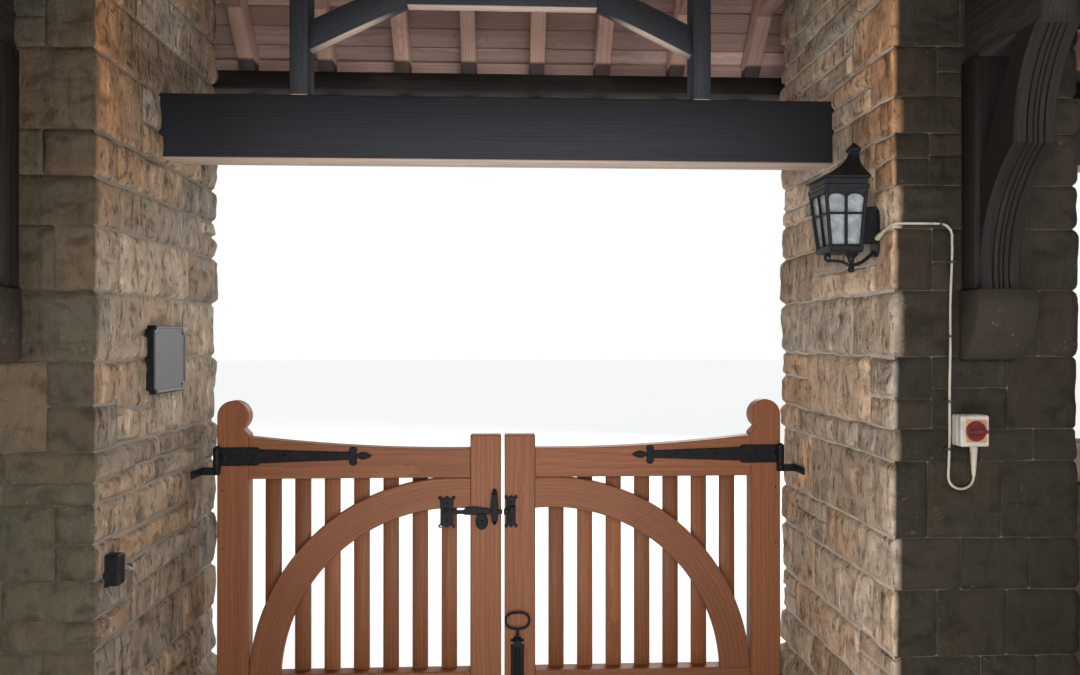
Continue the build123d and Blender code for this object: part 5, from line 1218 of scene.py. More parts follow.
def buildLeaf(word, side):
    look, rng, flip = gateLook, np.random.default_rng(301 + side), np.array([side, 1])
    stileIn, meetIn, middle = outer - look["stile"], look["meet"] + look["stile"], outer - look["stile"] / 2
    back, shoulder, under, floorTop = (face + look["thick"], look["shoulder"], look["railUnder"],
                                       look["bottomTop"])

    def put(piece, parts, finish=gateTimber, **where):
        putTimber(word + piece, parts, finish, "gate_timber", body=word + "_gate", **where)

    def sideBlocks(low, high, run, wear):
        return blocks(*mirrored(low, high, (side, 1, 1)), run, rng, wear)

    # hanging stile: upright on its outer edge, a round head and a notched shoulder on the inner one
    notch = shoulder + look["notchRise"]
    turn = np.linspace(0, 2 * math.pi + math.atan2(notch - look["ballZ"], look["stile"] / 2 - look["neck"]), 40)
    head = zip(middle + look["ballR"] * np.cos(turn), look["ballZ"] + look["ballR"] * np.sin(turn))
    stile = [(outer, look["foot"]), *head, (stileIn, notch - look["notchDrop"]), (stileIn, look["foot"])]
    hang = profileBar(np.array(stile) * flip, 1, face, back, alongZ, rng, look["wear"])
    closing = sideBlocks((look["meet"], face, look["foot"]), (meetIn, back, look["meetTop"]), alongZ,
                         look["wear"])
    put("GateStiles", [hang, closing], smooth=25)
    # rails: the upper edge of the top rail sweeps down to the closing stile in a hollow curve
    dip = ((stileIn + meetIn) / 2, (shoulder + look["railLow"]) / 2 - look["sag"])
    bow = arcThrough((stileIn, shoulder), dip, (meetIn, look["railLow"]), 28)
    top = profileBar(np.array([(meetIn, under), (stileIn, under), *bow]) * flip, 1, face, back, alongX, rng,
                     look["railWear"])
    low = sideBlocks((meetIn, face, look["bottomFoot"]), (stileIn, back, floorTop), alongX, look["railWear"])
    put("GateRails", [top, low], smooth=25)
    # arched brace: a flat ring cut to the bay, its grain following the curve in three scarfed lengths
    (over, aside), share, drop = look["archFit"], np.array(look["archShare"]), np.array(look["archDrop"])
    centreX = meetIn + look["archCentre"]
    outerR = stileIn - centreX - over
    centreZ = under - outerR - over
    edges = []
    for radius in (outerR - look["archWide"], outerR):
        first, last = (math.asin((floorTop + aside - centreZ) / radius),
                       math.acos((meetIn + aside - centreX) / radius))
        turn = np.linspace(first, last, 73)
        edges.append(np.stack([centreX + radius * np.cos(turn), centreZ + radius * np.sin(turn), turn],
                              axis=1)[:, None])
    sheet = edges[0] * (1 - share[:, None]) + edges[1] * share[:, None]
    turn, sheet = sheet[:, 0, 2], np.concatenate([sheet, sheet[:, ::-1]], axis=1)
    scarf = np.floor(np.clip((turn - turn[0]) / (turn[-1] - turn[0]) * 2.999, 0, 2))
    deep = np.concatenate([drop, look["archThick"] - drop])
    ring = np.stack(np.broadcast_arrays(sheet[..., 0] * side, face + deep, sheet[..., 1]), axis=2)
    radial = np.concatenate([share, share[::-1]]) * look["archWide"] + 0.05 + scarf[:, None] * 0.07
    grain = np.stack(np.broadcast_arrays((turn * outerR + scarf * 3.1)[:, None], radial, deep + 0.04), axis=2)
    arch = {"points": ring.reshape(-1, 3), "faces": ringFaces(ring, flip=side < 0),
            "grain": grain.reshape(-1, 3) + rng.uniform(-0.02, 0.02, 3),
            "tone": np.repeat((scarf - 1) * 0.35 - 0.25, len(deep))}
    put("GateArch", [arch], nodes=[word + "_gate_arch_brace"], smooth=25)
    # pickets behind the arch, and draw pegs as dark plugs at each joint of stile and rail
    gap = (stileIn - meetIn - look["pickets"] * look["picket"]) / (look["pickets"] + 1)
    edges, front = meetIn + gap + np.arange(look["pickets"]) * (look["picket"] + gap), face + look["archThick"]
    lows, highs = ([(x, front, floorTop) for x in edges],
                   [(x + look["picket"], front + look["picketThick"], under) for x in edges])
    put("GatePickets", [sideBlocks(lows, highs, alongZ, 0.003)])
    pegs = [latheTurn(look["pegTurn"], (side * (middle + 0.04), face - 0.0006, z), 1, 12) for z in look["pegs"]]
    put("GatePegs", pegs, stainedTimber, nodes=())


for word, side in leftAndRight:
    buildLeaf(word, side)
print("lychgate: gate leaves built")


# ironwork
def ironMaterial(name, rough, gloss, black, grey, bare, rubbed, dented):
    # black paint over hammered iron: slow dents, fine orange peel, rubbed to bare brown metal here and there
    material, tree, shader = startMaterial(name, rough, specular=gloss)
    spot = spotOf(tree)
    dents, peel = noiseOf(tree, spot, 75.0, 2.0), noiseOf(tree, spot, 420.0, 3.0)
    tone = mixTone(tree, between(tree, dents, 0.35, 0.7, 0.0, 0.6), black, grey)
    tone = mixTone(tree, times(tree, patches(tree, spot, 46.0, 6.0, 0.7, 0.6, 0.72), rubbed), tone, bare)
    gloss = between(tree, peel, 0.3, 0.7, rough - 0.08, rough + 0.12, False)
    finishWith(tree, shader, tone, gloss, ((dents, dented), (peel, 0.12)), 0.0012)
    return material


blackIron = ironMaterial("blackGateIron", 0.52, 0.14, (0.005, 0.005, 0.0065), (0.014, 0.014, 0.016),
                         (0.07, 0.042, 0.027), 0.3, 0.5)
lanternBlack = ironMaterial("lanternBlack", 0.45, 0.16, (0.005, 0.0055, 0.007), (0.011, 0.0125, 0.0155),
                            (0.06,) * 3, 0.15, 0.15)
zincScrew = ironMaterial("zincScrew", 0.35, 0.5, (0.4,) * 3, (0.55, 0.55, 0.54), (0.3, 0.28, 0.25), 0.4, 0.1)


def putIron(name, parts, finish=blackIron, slot="ironwork", smooth=30, **where):
    whole = joinParts(parts)
    putMesh(name, whole["points"], whole["faces"], finish, slot, smooth=smooth, **where)


def plainBlock(low, high, wear=0.001, side=1):
    return blocks(*mirrored(low, high, (side, 1, 1)), alongX, np.random.default_rng(1), wear)


def roundedOutline(width, height, radius, steps=5, centre=(0, 0)):
    # a rectangle with quarter circles at its corners
    turn = np.linspace(0, math.pi / 2, steps) + np.arange(4)[:, None] * math.pi / 2
    corners = np.array([(1, 1), (-1, 1), (-1, -1), (1, -1)]) * (width / 2 - radius,
                                                                height / 2 - radius) + centre
    return (corners[:, None] + radius * np.stack([np.cos(turn), np.sin(turn)], axis=2)).reshape(-1, 2)


def domeHead(x, y, z, radius, out, axis=1, toward=-1):
    # a coach bolt's head: a low dome turned on the axis, its rim against the plate
    turn = np.linspace(0, math.pi / 2, 6)
    return latheTurn(np.stack([radius * np.cos(turn * 0.96), toward * out * np.sin(turn)], axis=1), (x, y, z),
                     axis, 14)


# strap hinges and their pintles; radius and height pairs stand from the pin's middle or from its seat
hingeLook = {"heights": (0.155, 1.072), "bolts": ((0.03, 0.009), (0.12, 0.009), (0.26, 0.0075),
                                                  (0.42, 0.0065)), "half": 0.035,
             "tube": ((0.0085, -0.038), (0.0125, -0.038), (0.014, -0.0365), (0.014, 0.0365), (0.0125, 0.038),
                      (0.0085, 0.038)),
             "pin": ((0.0078, -0.0383), (0.0078, 0.0395), (0.0066, 0.0425), (0.003, 0.044)), "seat": -0.0383,
             "eye": ((0.0125, -0.028), (0.014, -0.0265), (0.014, -0.0015), (0.0125, 0))}


def strapOutline(side, z):
    # half of the strap: cuff, step, tapering bar, a round lobe and a pointed leaf; then the same below
    neck, lobe, tip, t = outer - 0.497, outer - 0.52, outer - 0.592, np.linspace(0, 1, 9)
    turn, ball = t * math.pi / 2, np.radians(np.linspace(-35, 215, 15))
    leaf = 0.0155 * np.sin(math.pi * np.clip(t * 0.92 + 0.08, 0, 1)) ** 0.8 * (1 - 0.25 * t)
    half = np.concatenate([[(outer + 0.004, 0.035), (outer - 0.15, 0.035)],
                           *(np.stack(pair, axis=1)[first:] for first, pair in (
        (1, (outer - 0.15 - 0.014 * np.sin(turn), 0.035 - 0.009 * (1 - np.cos(turn)))),
        (1, (outer - 0.164 + (neck - outer + 0.164) * t, 0.026 - 0.011 * t)),
        (0, (lobe + 0.015 * np.cos(ball), 0.0235 + 0.0135 * np.sin(ball))),
        (0, (lobe - 0.014 - (lobe - 0.014 - tip) * t, leaf))))])
    half[-1] = (tip, 0)
    return np.concatenate([half, half[:-1][::-1] * (1, -1)]) * (side, 1) + (0, z)


def buildHinges(word, side):
    look, straps, brackets, rng = hingeLook, [], [], np.random.default_rng(320)
    half, pinX, pinY = look["half"], outer - 0.007, place["hingeY"]
    for z in look["heights"]:
        straps += [profileBar(strapOutline(side, z), 1, face - 0.008, face - 0.0002, alongX, rng, 0.0022),
                   plainBlock((outer + 0.0002, face - 0.007, z - half),
                              (outer + 0.004, face + 0.0638, z + half), 0.001, side),
                   plainBlock((outer - 0.153, face + 0.0602, z - half),
                              (outer + 0.0038, face + 0.064, z + half), 0.001, side)]
        straps += [domeHead(side * (outer - x), face - 0.0078, z, r, 0.0045) for x, r in look["bolts"]]
        radii, levels = np.array(look["tube"]).T
        path = np.stack([np.full(6, side * pinX), np.full(6, pinY), z + levels], axis=1)
        tube = roundRings(path, radii, 28, np.array([alongX]), np.array([alongY]))
        straps.append(asPart(tube, ringFaces(tube, closed=True)))
        seat, top = place["halfOpening"] - (half if z < 0.2 else 0), z + look["seat"]
        brackets += [latheTurn(look["pin"], (side * pinX, pinY, z), 2, 24),
                     latheTurn(look["eye"], (side * pinX, pinY, top), 2, 24),
                     plainBlock((pinX, pinY - 0.01, top - 0.0278), (seat - 0.002, pinY + 0.01, top - 0.0002),
                                0.002, side),
                     plainBlock((seat - 0.008, pinY - 0.1, top - 0.028), (seat, pinY + 0.01, top), 0.0015,
                                side)]
        brackets += [domeHead(side * (seat - 0.0078), y, top - 0.014, 0.007, 0.004, 0, -side)
                     for y in (1.925, 1.965)]
    putIron(word + "StrapHinges", straps, body=word + "_gate")
    putIron(word + "Pintles", brackets)


for word, side in leftAndRight:
    buildHinges(word, side)

# latch and keeper; a block is its sides, its front and back before the gates' face, its heights from the
# latch, its wear
latchLook = {"z": 0.853, "pivotX": -0.217, "barEnd": -0.0017, "knobX": -0.088, "bar": 0.0053,
             "staple": (-0.032, 0.802, 0.138),
             "boss": ((0.006, 0.001), (0.006, 0.0125), (0.0075, 0.0127), (0.0068, 0.0158), (0.003, 0.0172)),
             "knob": ((0.0085, 0.0093), (0.0085, 0.0168), (0.0062, 0.0198), (0.002, 0.0208)),
             "feet": ((-0.04, -0.024, 0.0165, 0.0002, -0.041, -0.015, 0.0015),
                      (-0.04, -0.024, 0.0165, 0.0002, 0.064, 0.08, 0.0015)),
             "stalk": ((-0.095, -0.069, 0.0173, 0.0055, -0.02, -0.006, 0.0015),),
             "keeper": ((0.0035, 0.022, 0.0185, 0.0052, -0.0105, 0.0105, 0.0015),
                        (0.0148, 0.0192, 0.0072, 0.0045, -0.048, 0.048, 0.001),
                        (0.0438, 0.0482, 0.0072, 0.0045, -0.048, 0.048, 0.001),
                        (0.0265, 0.0465, 0.022, 0.0045, -0.02, -0.0125, 0.0012),
                        (0.0265, 0.0465, 0.022, 0.0045, 0.0125, 0.02, 0.0012),
                        (0.0265, 0.0465, 0.022, 0.0175, -0.0145, 0.0145, 0.0012)),
             "curl": {"reach": 0.0035, "radius": 0.0058, "wire": 0.0036, "out": 0.0038}}
latchZ = latchLook["z"]


def latchBlocks(key):
    return [plainBlock((x0, face - out, latchZ + z0), (x1, face - back, latchZ + z1), wear)
            for x0, x1, out, back, z0, z1, wear in latchLook[key]]


def faceTurn(profile, x, z, sides):  # radius and distance out of the gates' face
    return latheTurn([(radius, face - out) for radius, out in profile], (x, 0, z), 1, sides)


def scroll(x, z, side, up):
    # a small curl: a run along the plate that winds in on itself by 250 degrees, its wire thinning to the tip
    look, t = latchLook["curl"], np.linspace(0, 1, 22)
    turn, thin = t * math.radians(250), 1 - 0.35 * t
    along = np.concatenate([[0], look["reach"] + look["radius"] * thin * np.sin(turn)])
    rise = np.concatenate([[0], look["radius"] * (1 - thin * np.cos(turn))])
    path = np.stack([x + side * along, np.full(len(rise), face - look["out"]), z + up * rise], axis=1)
    return sweptRod(path, look["wire"] * np.concatenate([[1], thin]), 10)


def hornedPlate(x, z, wide, tall, rng):
    # a narrow plate with a curl at each corner, a small lobe above and below, and two bolts
    parts = [profileBar(roundedOutline(wide, tall, 0.005, 4, (x, z)), 1, face - 0.005, face - 0.0002, alongZ,
                        rng, 0.0012)]
    for up in (-1, 1):
        parts += [scroll(x + s * (wide / 2 - 0.004), z + up * (tall / 2 - 0.0045), s, up) for s in (-1, 1)]
        parts += [domeHead(x, face - 0.0002, z + up * (tall / 2 - 0.001), 0.0085, 0.0048),
                  domeHead(x, face - 0.0048, z + up * tall * 0.33, 0.0052, 0.003)]
    return parts


def buildLatch():
    look, rng, px, z, end = (latchLook, np.random.default_rng(330), latchLook["pivotX"], latchZ,
                             latchLook["barEnd"])
    plates = hornedPlate(px, z, 0.051, 0.108, rng) + [faceTurn(look["boss"], px, z, 20)]
    # staple: a tall bowed plate that stands off on two feet, with the bar running under it
    t, (x, foot, high) = np.linspace(0, 1, 31)[:, None], look["staple"]
    wide = 0.014 * np.sin(math.pi * np.clip(t, 0.015, 0.985)) ** 0.33
    out = 0.022 * np.clip(np.sin(math.pi * np.clip(t * 0.96 + 0.02, 0, 1)) * 2.4, 0.28, 1.0)
    across, drop = np.array([-1, -0.8, 0.8, 1, 1, 0.8, -0.8, -1]), np.array([0.0012, 0, 0, 0.0012])
    deep = face - out + np.where(np.arange(8) < 4, np.tile(drop, 2), np.minimum(0.005, out * 0.9))
    ring = np.stack(np.broadcast_arrays(x + across * wide, deep, foot + high * t), axis=2)
    putIron("latchPlates", [*plates, asPart(ring, ringFaces(ring)), *latchBlocks("feet")], body="left_gate")
    # bar: an eye on the pivot, thin neck, thicker middle and a curled thumb piece hanging under it
    front, turn = face - look["bar"], np.radians(np.linspace(35, 325, 22))
    tail = [(px + 0.062, -0.008), (px + 0.074, -0.0115), (-0.062, -0.0115), (-0.05, -0.0095), (end, -0.0085),
            (end, 0.0085),
            (-0.05, 0.0095), (-0.062, 0.0135), (-0.105, 0.0185), (px + 0.076, 0.0175), (px + 0.062, 0.008)]
    eye = zip(px + 0.014 * np.cos(turn), 0.014 * np.sin(turn))
    bar = profileBar(np.array([*eye, *tail]) + (0, z), 1, front - 0.006, front, alongX, rng, 0.0012)
    knobX, knobZ, turn = look["knobX"] + 0.0065, z - 0.038, np.linspace(0, 2 * math.pi, 37)[:-1]
    oval = np.stack([knobX + 0.0195 * np.cos(turn), knobZ + 0.0255 * np.sin(turn)], axis=1)
    disc = profileBar(oval, 1, front - 0.0105, front - 0.0045, alongX, rng, 0.0012)
    rim = sweptRod(np.insert(oval, 1, front - 0.0085, axis=1), 0.0045, 10, closed=True)
    putIron("latchBar", [bar, rim, disc, *latchBlocks("stalk"), faceTurn(look["knob"], knobX, knobZ, 22)],
            body="latch")
    # keeper on the other leaf, with two curls on its far side
    putIron("latchKeeper", hornedPlate(0.0315, z, 0.036, 0.11, rng) + latchBlocks("keeper"), body="right_gate")


buildLatch()
boltLook = {"x": 0.057, "out": 0.015, "guides": ((0.132, 0.166), (0.323, 0.357)),
            "plate": (0.052, 0.225, 0.2445), "ringZ": 0.431,
            "rod": ((0.005, 0.010), (0.008, 0.016), (0.008, 0.357), (0.0095, 0.3572), (0.0138, 0.3585),
                    (0.0138, 0.3662),
                    (0.0095, 0.3674), (0.006, 0.3678), (0.0052, 0.394), (0.0052, 0.399), (0.003, 0.4015))}


def buildDropBolt():
    # a plate with two square guides bored for the rod, and the rod with its collar and oval ring
    look, x, y = boltLook, boltLook["x"], face - boltLook["out"]
    wide, tall, middle = look["plate"]
    plate = roundedOutline(wide, tall, 0.004, 4, (x, middle))
    guide = [profileBar(plate, 1, face - 0.005, face - 0.0002, alongZ, np.random.default_rng(340), 0.0012)]
    turn = np.linspace(0, 2 * math.pi, 25)[:-1] + math.pi / 4
    circle = np.stack([np.cos(turn), np.sin(turn)], axis=1)
    square = circle * (0.017 / np.abs(circle).max(axis=1))[:, None]
    square[:, 1] = np.clip(square[:, 1], -0.014, 0.0148)
    for low, high in look["guides"]:
        levels = (high, low, low, low + 0.0015, high - 0.0015, high)
        rows = (circle * 0.0086, circle * 0.0086, square * 0.94, square, square, square * 0.94)
        rings = np.stack([np.insert(row + (x, y), 2, level, axis=1) for row, level in zip(rows, levels)])
        guide.append(asPart(rings, ringFaces(rings, closed=True)))
    putIron("boltGuide", guide, body="right_gate")
    screws = [domeHead(x + dx, face - 0.0048, z, 0.0034, 0.0018) for z in (0.15, 0.342)
              for dx in (-0.0208, 0.0208)]
    putIron("guideScrews", screws, zincScrew, body="right_gate", nodes=())
    turn = np.linspace(0, 2 * math.pi, 49)[:-1]
    ovalX, ovalZ = (np.sign(part) * np.abs(part) ** 0.8 for part in (np.cos(turn), np.sin(turn)))
    ring = sweptRod(np.stack([x + 0.0455 * ovalX, np.full(48, y), look["ringZ"] + 0.0315 * ovalZ], axis=1),
                    0.0045, 12, closed=True)
    putIron("dropBolt", [ring, latheTurn(look["rod"], (x, y, 0), 2, 22)], body="bolt")


buildDropBolt()
print("lychgate: ironwork built")

# lantern: heights from the foot of its glass, places from its middle
lanternLook = {
    "spot": (1.05, 1.313, 1.797), "top": 0.181, "roofFoot": 0.215, "peak": 0.321, "apex": 0.030,
    "baseCage": (0.062, 0.033, 0.050), "topCage": (0.082, 0.044, 0.0625),
    "eaves": ((-0.006, 0.179), (0.005, 0.179), (0.005, 0.19), (0.002, 0.193), (0.002, 0.208), (0.009, 0.21),
              (0.009, 0.215)),
    "finial": ((0.0125, -0.022), (0.0165, -0.019), (0.0165, -0.010), (0.0135, -0.006), (0.0085, 0.0),
               (0.0012, 0.0095)),
    "sill": ((-0.014, -0.0115), (0.002, -0.0115), (0.0045, -0.004), (0.0045, 0.003), (0.0, 0.012),
             (-0.014, 0.012)),
    "head": ((-0.010, 0.165), (0.0025, 0.165), (0.0025, 0.181), (-0.010, 0.181)),
    "knop": ((0.003, -0.070), (0.0085, -0.067), (0.0105, -0.060), (0.0085, -0.053), (0.006, -0.050),
             (0.006, -0.040),
             (0.0095, -0.036), (0.0095, -0.030), (0.014, -0.022), (0.024, -0.012)),
    "lamp": ((0.010, 0.030), (0.012, 0.046), (0.020, 0.062), (0.027, 0.082), (0.0285, 0.098), (0.024, 0.118),
             (0.014, 0.130),
             (0.004, 0.134)),
    "holder": ((0.016, 0.008), (0.016, 0.020), (0.0125, 0.024), (0.0125, 0.038), (0.0095, 0.040)),
}


def cageLoft(profile):
    # four-sided rings, so far out from the middle, so far back towards the stone and half as wide to each side
    rings = np.array([[(-front, -half, z), (back, -half, z), (back, half, z), (-front, half, z)]
                      for front, back, half, z in profile])
    return asPart(rings, ringFaces(rings, flip=profile[0][3] > profile[-1][3]))


def grownLoft(cage, rows):  # each ring is the cage's plan grown by the first number of its row
    return cageLoft([(*(cage + grow), z) for grow, z in rows])


def straightRod(start, stop, radius, sides, up):
    return sweptRod(np.stack([start + (stop - start) * share for share in (0, 0.5, 1)]), radius, sides, up)


def buildLantern():
    look, low, high = lanternLook, np.array(lanternLook["baseCage"]), np.array(lanternLook["topCage"])
    top, foot, peak, apex, wall = (look["top"], look["roofFoot"], look["peak"], look["apex"],
                                   place["halfOpening"] - look["spot"][0])
    # cap: flares from its eaves in a hollow curve to an apex that stands towards the stone
    rise, (front, back, half) = np.linspace(0, 1, 15)[1:], high + 0.009
    sweep, swell = (1 - rise) ** 1.9, 0.013 * rise ** 0.6
    roof = [(*(high + grow), z) for grow, z in look["eaves"]]
    roof += zip((front + apex) * sweep - apex + swell, (back - apex) * sweep + apex + swell,
                half * sweep + swell * 0.9,
                foot + (peak - 0.02 - foot) * rise)
    metal = [cageLoft(roof), cageLoft([(r - apex, r + apex, r, peak + z) for r, z in look["finial"]]),
             grownLoft(low, look["sill"]), grownLoft(high, look["head"])]
    a, b = (np.array([(-f, -h, z), (k, -h, z), (k, h, z), (-f, h, z)])
            for (f, k, h), z in ((low - 0.001, 0), (high - 0.001, top)))
    metal += [straightRod(a[k], b[k], 0.006, 8, alongY) for k in range(4)]
    # near, far and front lights
    for k, k2, flat in ((0, 1, (0, -1, 0)), (2, 3, (0, 1, 0)), (3, 0, (-1, 0, 0))):
        flat, under, over = np.array(flat, float), (a[k] + a[k2]) / 2, (b[k] + b[k2]) / 2
        left, right = a[k] + (b[k] - a[k]) * 0.58, a[k2] + (b[k2] - a[k2]) * 0.58
        metal += [straightRod(under, over, 0.0046, 6, unit(np.cross(flat, over - under))),
                  straightRod(left, right, 0.0036, 6, alongZ)]
        down, turn = unit(under - over), np.linspace(0, math.pi, 9)[:, None]
        for s0, s1 in ((0.06, 0.48), (0.52, 0.94)):  # round heads of the two upper lights
            p, q = (b[k] + (b[k2] - b[k]) * s for s in (s0, s1))
            across = (p + q) / 2 - np.cos(turn) * (q - p) / 2
            curve, upper = across + down * (0.038 - 0.020 * np.sin(turn) ** 0.7), across + down * 0.010
            strip = np.stack([curve + flat * 0.0012, upper + flat * 0.0012, upper - flat * 0.0012,
                              curve - flat * 0.0012], axis=1)
            metal.append(asPart(strip, ringFaces(strip, flip=True)))
    # back: a panel, a box let on to the stone and a small plate
    metal.append(cageLoft([(0.003 - low[1], low[1], low[2] - 0.003, 0),
                           (0.003 - high[1], high[1], high[2] - 0.003, top)]))
    metal.append(plainBlock((0.034, -0.024, 0.020), (wall - 0.004, 0.024, 0.130), 0.003))
    plate = roundedOutline(0.058, 0.150, 0.020, 7, (0, 0.052))
    metal.append(profileBar(plate, 0, wall - 0.0072, wall, alongZ, np.random.default_rng(350), 0.0025))
    # scroll under the cage: a curl at the front that runs down to a knop and back to the stone
    turn, radius = np.linspace(math.radians(300), 0, 24), 0.0105 * (1 - 0.55 * np.linspace(1, 0, 24))
    swirl = np.stack([-0.050 - radius * np.sin(turn), 0 * turn, -0.0235 - radius * np.cos(turn)], axis=1)
    run = bezier(((-0.050, 0, -0.034), (0.004, 0, -0.030), (0.022, 0, -0.056)), 14)[1:]
    rise = bezier(((0.022, 0, -0.046), (0.050, 0, -0.050), (wall - 0.005, 0, -0.004)), 14)
    metal += [sweptRod(np.concatenate([swirl, run]), 0.0048, 10), sweptRod(rise, 0.0055, 10),
              latheTurn(look["knop"], (0.022, 0, 0), 2, 20)]
    # clouded panes just inside the bars, and a frosted lamp with its holder
    shell, inner = (cageLoft([(*(low - gap), lift), (*(high - gap), top - lift - 0.002)])
                    for gap, lift in ((0.0045, 0.010), (0.0068, 0.012)))
    inner["faces"] = [item[:, ::-1] for item in inner["faces"]]
    glass, tree, shader = startMaterial("lanternPane", 0.08)
    shader.inputs["Transmission Weight"].default_value = 0.45
    shader.inputs["IOR"].default_value = 1.45
    dust = noiseOf(tree, spotOf(tree), 38.0, 4.0, 0.6)
    finishWith(tree, shader, mixTone(tree, between(tree, dust, 0.3, 0.7), (0.42, 0.46, 0.47),
                                     (0.2, 0.22, 0.23)),
               between(tree, dust, 0.35, 0.75, 0.2, 0.55))
    frosted, tree, shader = startMaterial("frostedLamp", 0.35)
    finishWith(tree, shader, mixTone(tree, noiseOf(tree, spotOf(tree), 90.0, 3.0), (0.74, 0.76, 0.75),
                                     (0.86, 0.87, 0.85)))
    for name, parts, finish, slot, smooth, nodes in (
            ("lanternCage", metal, lanternBlack, "lantern_metal", 32, ["lantern_frame"]),
            ("lanternPanes", [shell, inner], glass, "lantern_glass", 30, None),
            ("lanternLamp", [latheTurn(look["lamp"], (-0.014, 0, 0), 2, 24)], frosted, "lantern_glass", 50, ()),
            ("lanternLampHolder", [latheTurn(look["holder"], (-0.014, 0, 0), 2, 20)], lanternBlack,
             "lantern_metal", 30, ())):
        for part in parts:
            part["points"] = part["points"] + look["spot"]
        putIron(name, parts, finish, slot, smooth, nodes=nodes)


buildLantern()
print("lychgate: lantern built")


# switch, cable, plaque, catch
def plasticMaterial(name, tone, deep, rough):
    # moulded plastic with a fine grain, dirt in soft patches
    material, tree, shader = startMaterial(name, rough)
    spot = spotOf(tree)
    tone = mixTone(tree, patches(tree, spot, 26.0, 5.0, 0.65, 0.42, 0.75, 0.0, 0.7), tone, deep)
    finishWith(tree, shader, tone, None, ((noiseOf(tree, spot, 600.0, 2.0), 0.12),), 0.0004)
    return material


paleSheath = plasticMaterial("paleSheath", (0.37, 0.33, 0.26), (0.22, 0.19, 0.14), 0.5)
boxGrey = plasticMaterial("switchBoxGrey", (0.40, 0.375, 0.34), (0.24, 0.22, 0.19), 0.42)
coverAmber = plasticMaterial("switchCoverAmber", (0.40, 0.19, 0.08), (0.26, 0.14, 0.07), 0.4)
knobRed = plasticMaterial("switchKnobRed", (0.10, 0.011, 0.011), (0.05, 0.009, 0.009), 0.36)
clipBlack = plasticMaterial("clipBlack", (0.02, 0.02, 0.02), (0.05, 0.045, 0.04), 0.5)
fittingLook = {
    "switch": (1.365, 1.257), "size": (0.084, 0.09), "cover": (0.062, 0.066), "deep": 0.052, "cableOut": 0.009,
    "collar": ((0.0285, 0.0005), (0.029, 0.003), (0.029, 0.007), (0.027, 0.0098), (0.010, 0.0100)),
    "gland": (1.385, 1.212), "lamp": (1.281, 1.832), "reach": (1.322, 1.862), "drop": (1.308, 1.083),
    "bends": (0.02, 0.037, 0.037, 0.037),
    "sleeve": ((0.0044, -0.092), (0.0058, -0.084), (0.0075, -0.060), (0.0092, -0.030), (0.0108, -0.012),
               (0.0112, 0.0), (0.009, 0.0015)),
    "entry": ((0.0085, -0.006), (0.0095, -0.004), (0.0085, 0.008), (0.0068, 0.026), (0.0052, 0.044),
              (0.0044, 0.052)),
    "clips": ((1.286, 1.862), (1.321, 1.749), (1.3165, 1.531), (1.3130, 1.34), (1.3100, 1.20)),
    "clip": (0.0062, 0.0075),
    "nail": ((0.0035, 0.004), (0.0035, -0.002), (0.0026, -0.0042)),
}


def buildSwitch():
    look, rng, (x, z), wall = fittingLook, np.random.default_rng(360), fittingLook["switch"], yIn
    (wide, high), front = look["size"], yIn - look["deep"]

    def slab(width, height, radius, steps, back, fore, wear, shift=0):
        return profileBar(roundedOutline(width, height, radius, steps, (x + shift, z)), 1, back, fore, alongZ,
                          rng, wear)
    parts = [slab(wide, high, 0.006, 5, wall - 0.030, wall - 0.0005, 0.0015),
             slab(wide, high, 0.006, 5, front, wall - 0.0312, 0.0035),
             slab(wide - 0.004, high - 0.004, 0.006, 5, wall - 0.033, wall - 0.028, 0.0005)]
    parts += [domeHead(x + dx, front + 0.0008, z + dz, 0.0036, 0.0016) for dz in (0.037, -0.037)
              for dx in (-0.034, 0.034)]
    putIron("switchBox", parts, boxGrey, "grey_plastic", nodes=["isolator_box"])
    cover = slab(*look["cover"], 0.004, 4, front - 0.0012, front + 0.0005, 0.0005, 0.003)
    putIron("switchCover", [cover], coverAmber, "grey_plastic", nodes=())
    # knob: a collar with ribs round its edge and a flat grip across it
    t = np.linspace(0, 1, 13)
    half = np.stack([-0.026 + 0.052 * t, 0.0045 + 0.0028 * np.sin(math.pi * t)], axis=1)
    grip = profileBar(np.concatenate([half, -half]) + (x, z), 1, front - 0.0238, front - 0.0095, alongX, rng,
                      0.0018)
    spots = [(x + 0.0262 * math.cos(a), z + 0.0262 * math.sin(a)) for a in np.linspace(0, 2 * math.pi, 17)[:-1]]
    ribs = [plainBlock((u - 0.0015, front - 0.0085, v - 0.0015), (u + 0.0015, front - 0.0045, v + 0.0015),
                       0.0004) for u, v in spots]
    collar = latheTurn([(radius, front - out) for radius, out in look["collar"]], (x, 0, z), 1, 40)
    putIron("switchKnob", [collar, grip, *ribs], knobRed, "red_plastic", nodes=["isolator_knob"])


def roundCorners(route, radii, steps):
    # the cable's bends: each corner of the route becomes a quarter turn of its own radius
    route = np.asarray(route, float)
    points = [route[:1]]
    for before, here, after, radius in zip(route, route[1:], route[2:], radii):
        u, v = unit(before - here), unit(after - here)
        half = math.acos(np.clip(u @ v, -1, 1)) / 2
        middle = here + unit(u + v) * radius / math.sin(half)
        a, b = here + u * radius / math.tan(half) - middle, here + v * radius / math.tan(half) - middle
        whole = math.acos(np.clip(a @ b / (a @ a), -1, 1))
        t = np.linspace(0, 1, steps)[:, None]
        points.append(middle + (np.sin((1 - t) * whole) * a + np.sin(t * whole) * b) / math.sin(whole))
    return np.concatenate([*points, route[-1:]])


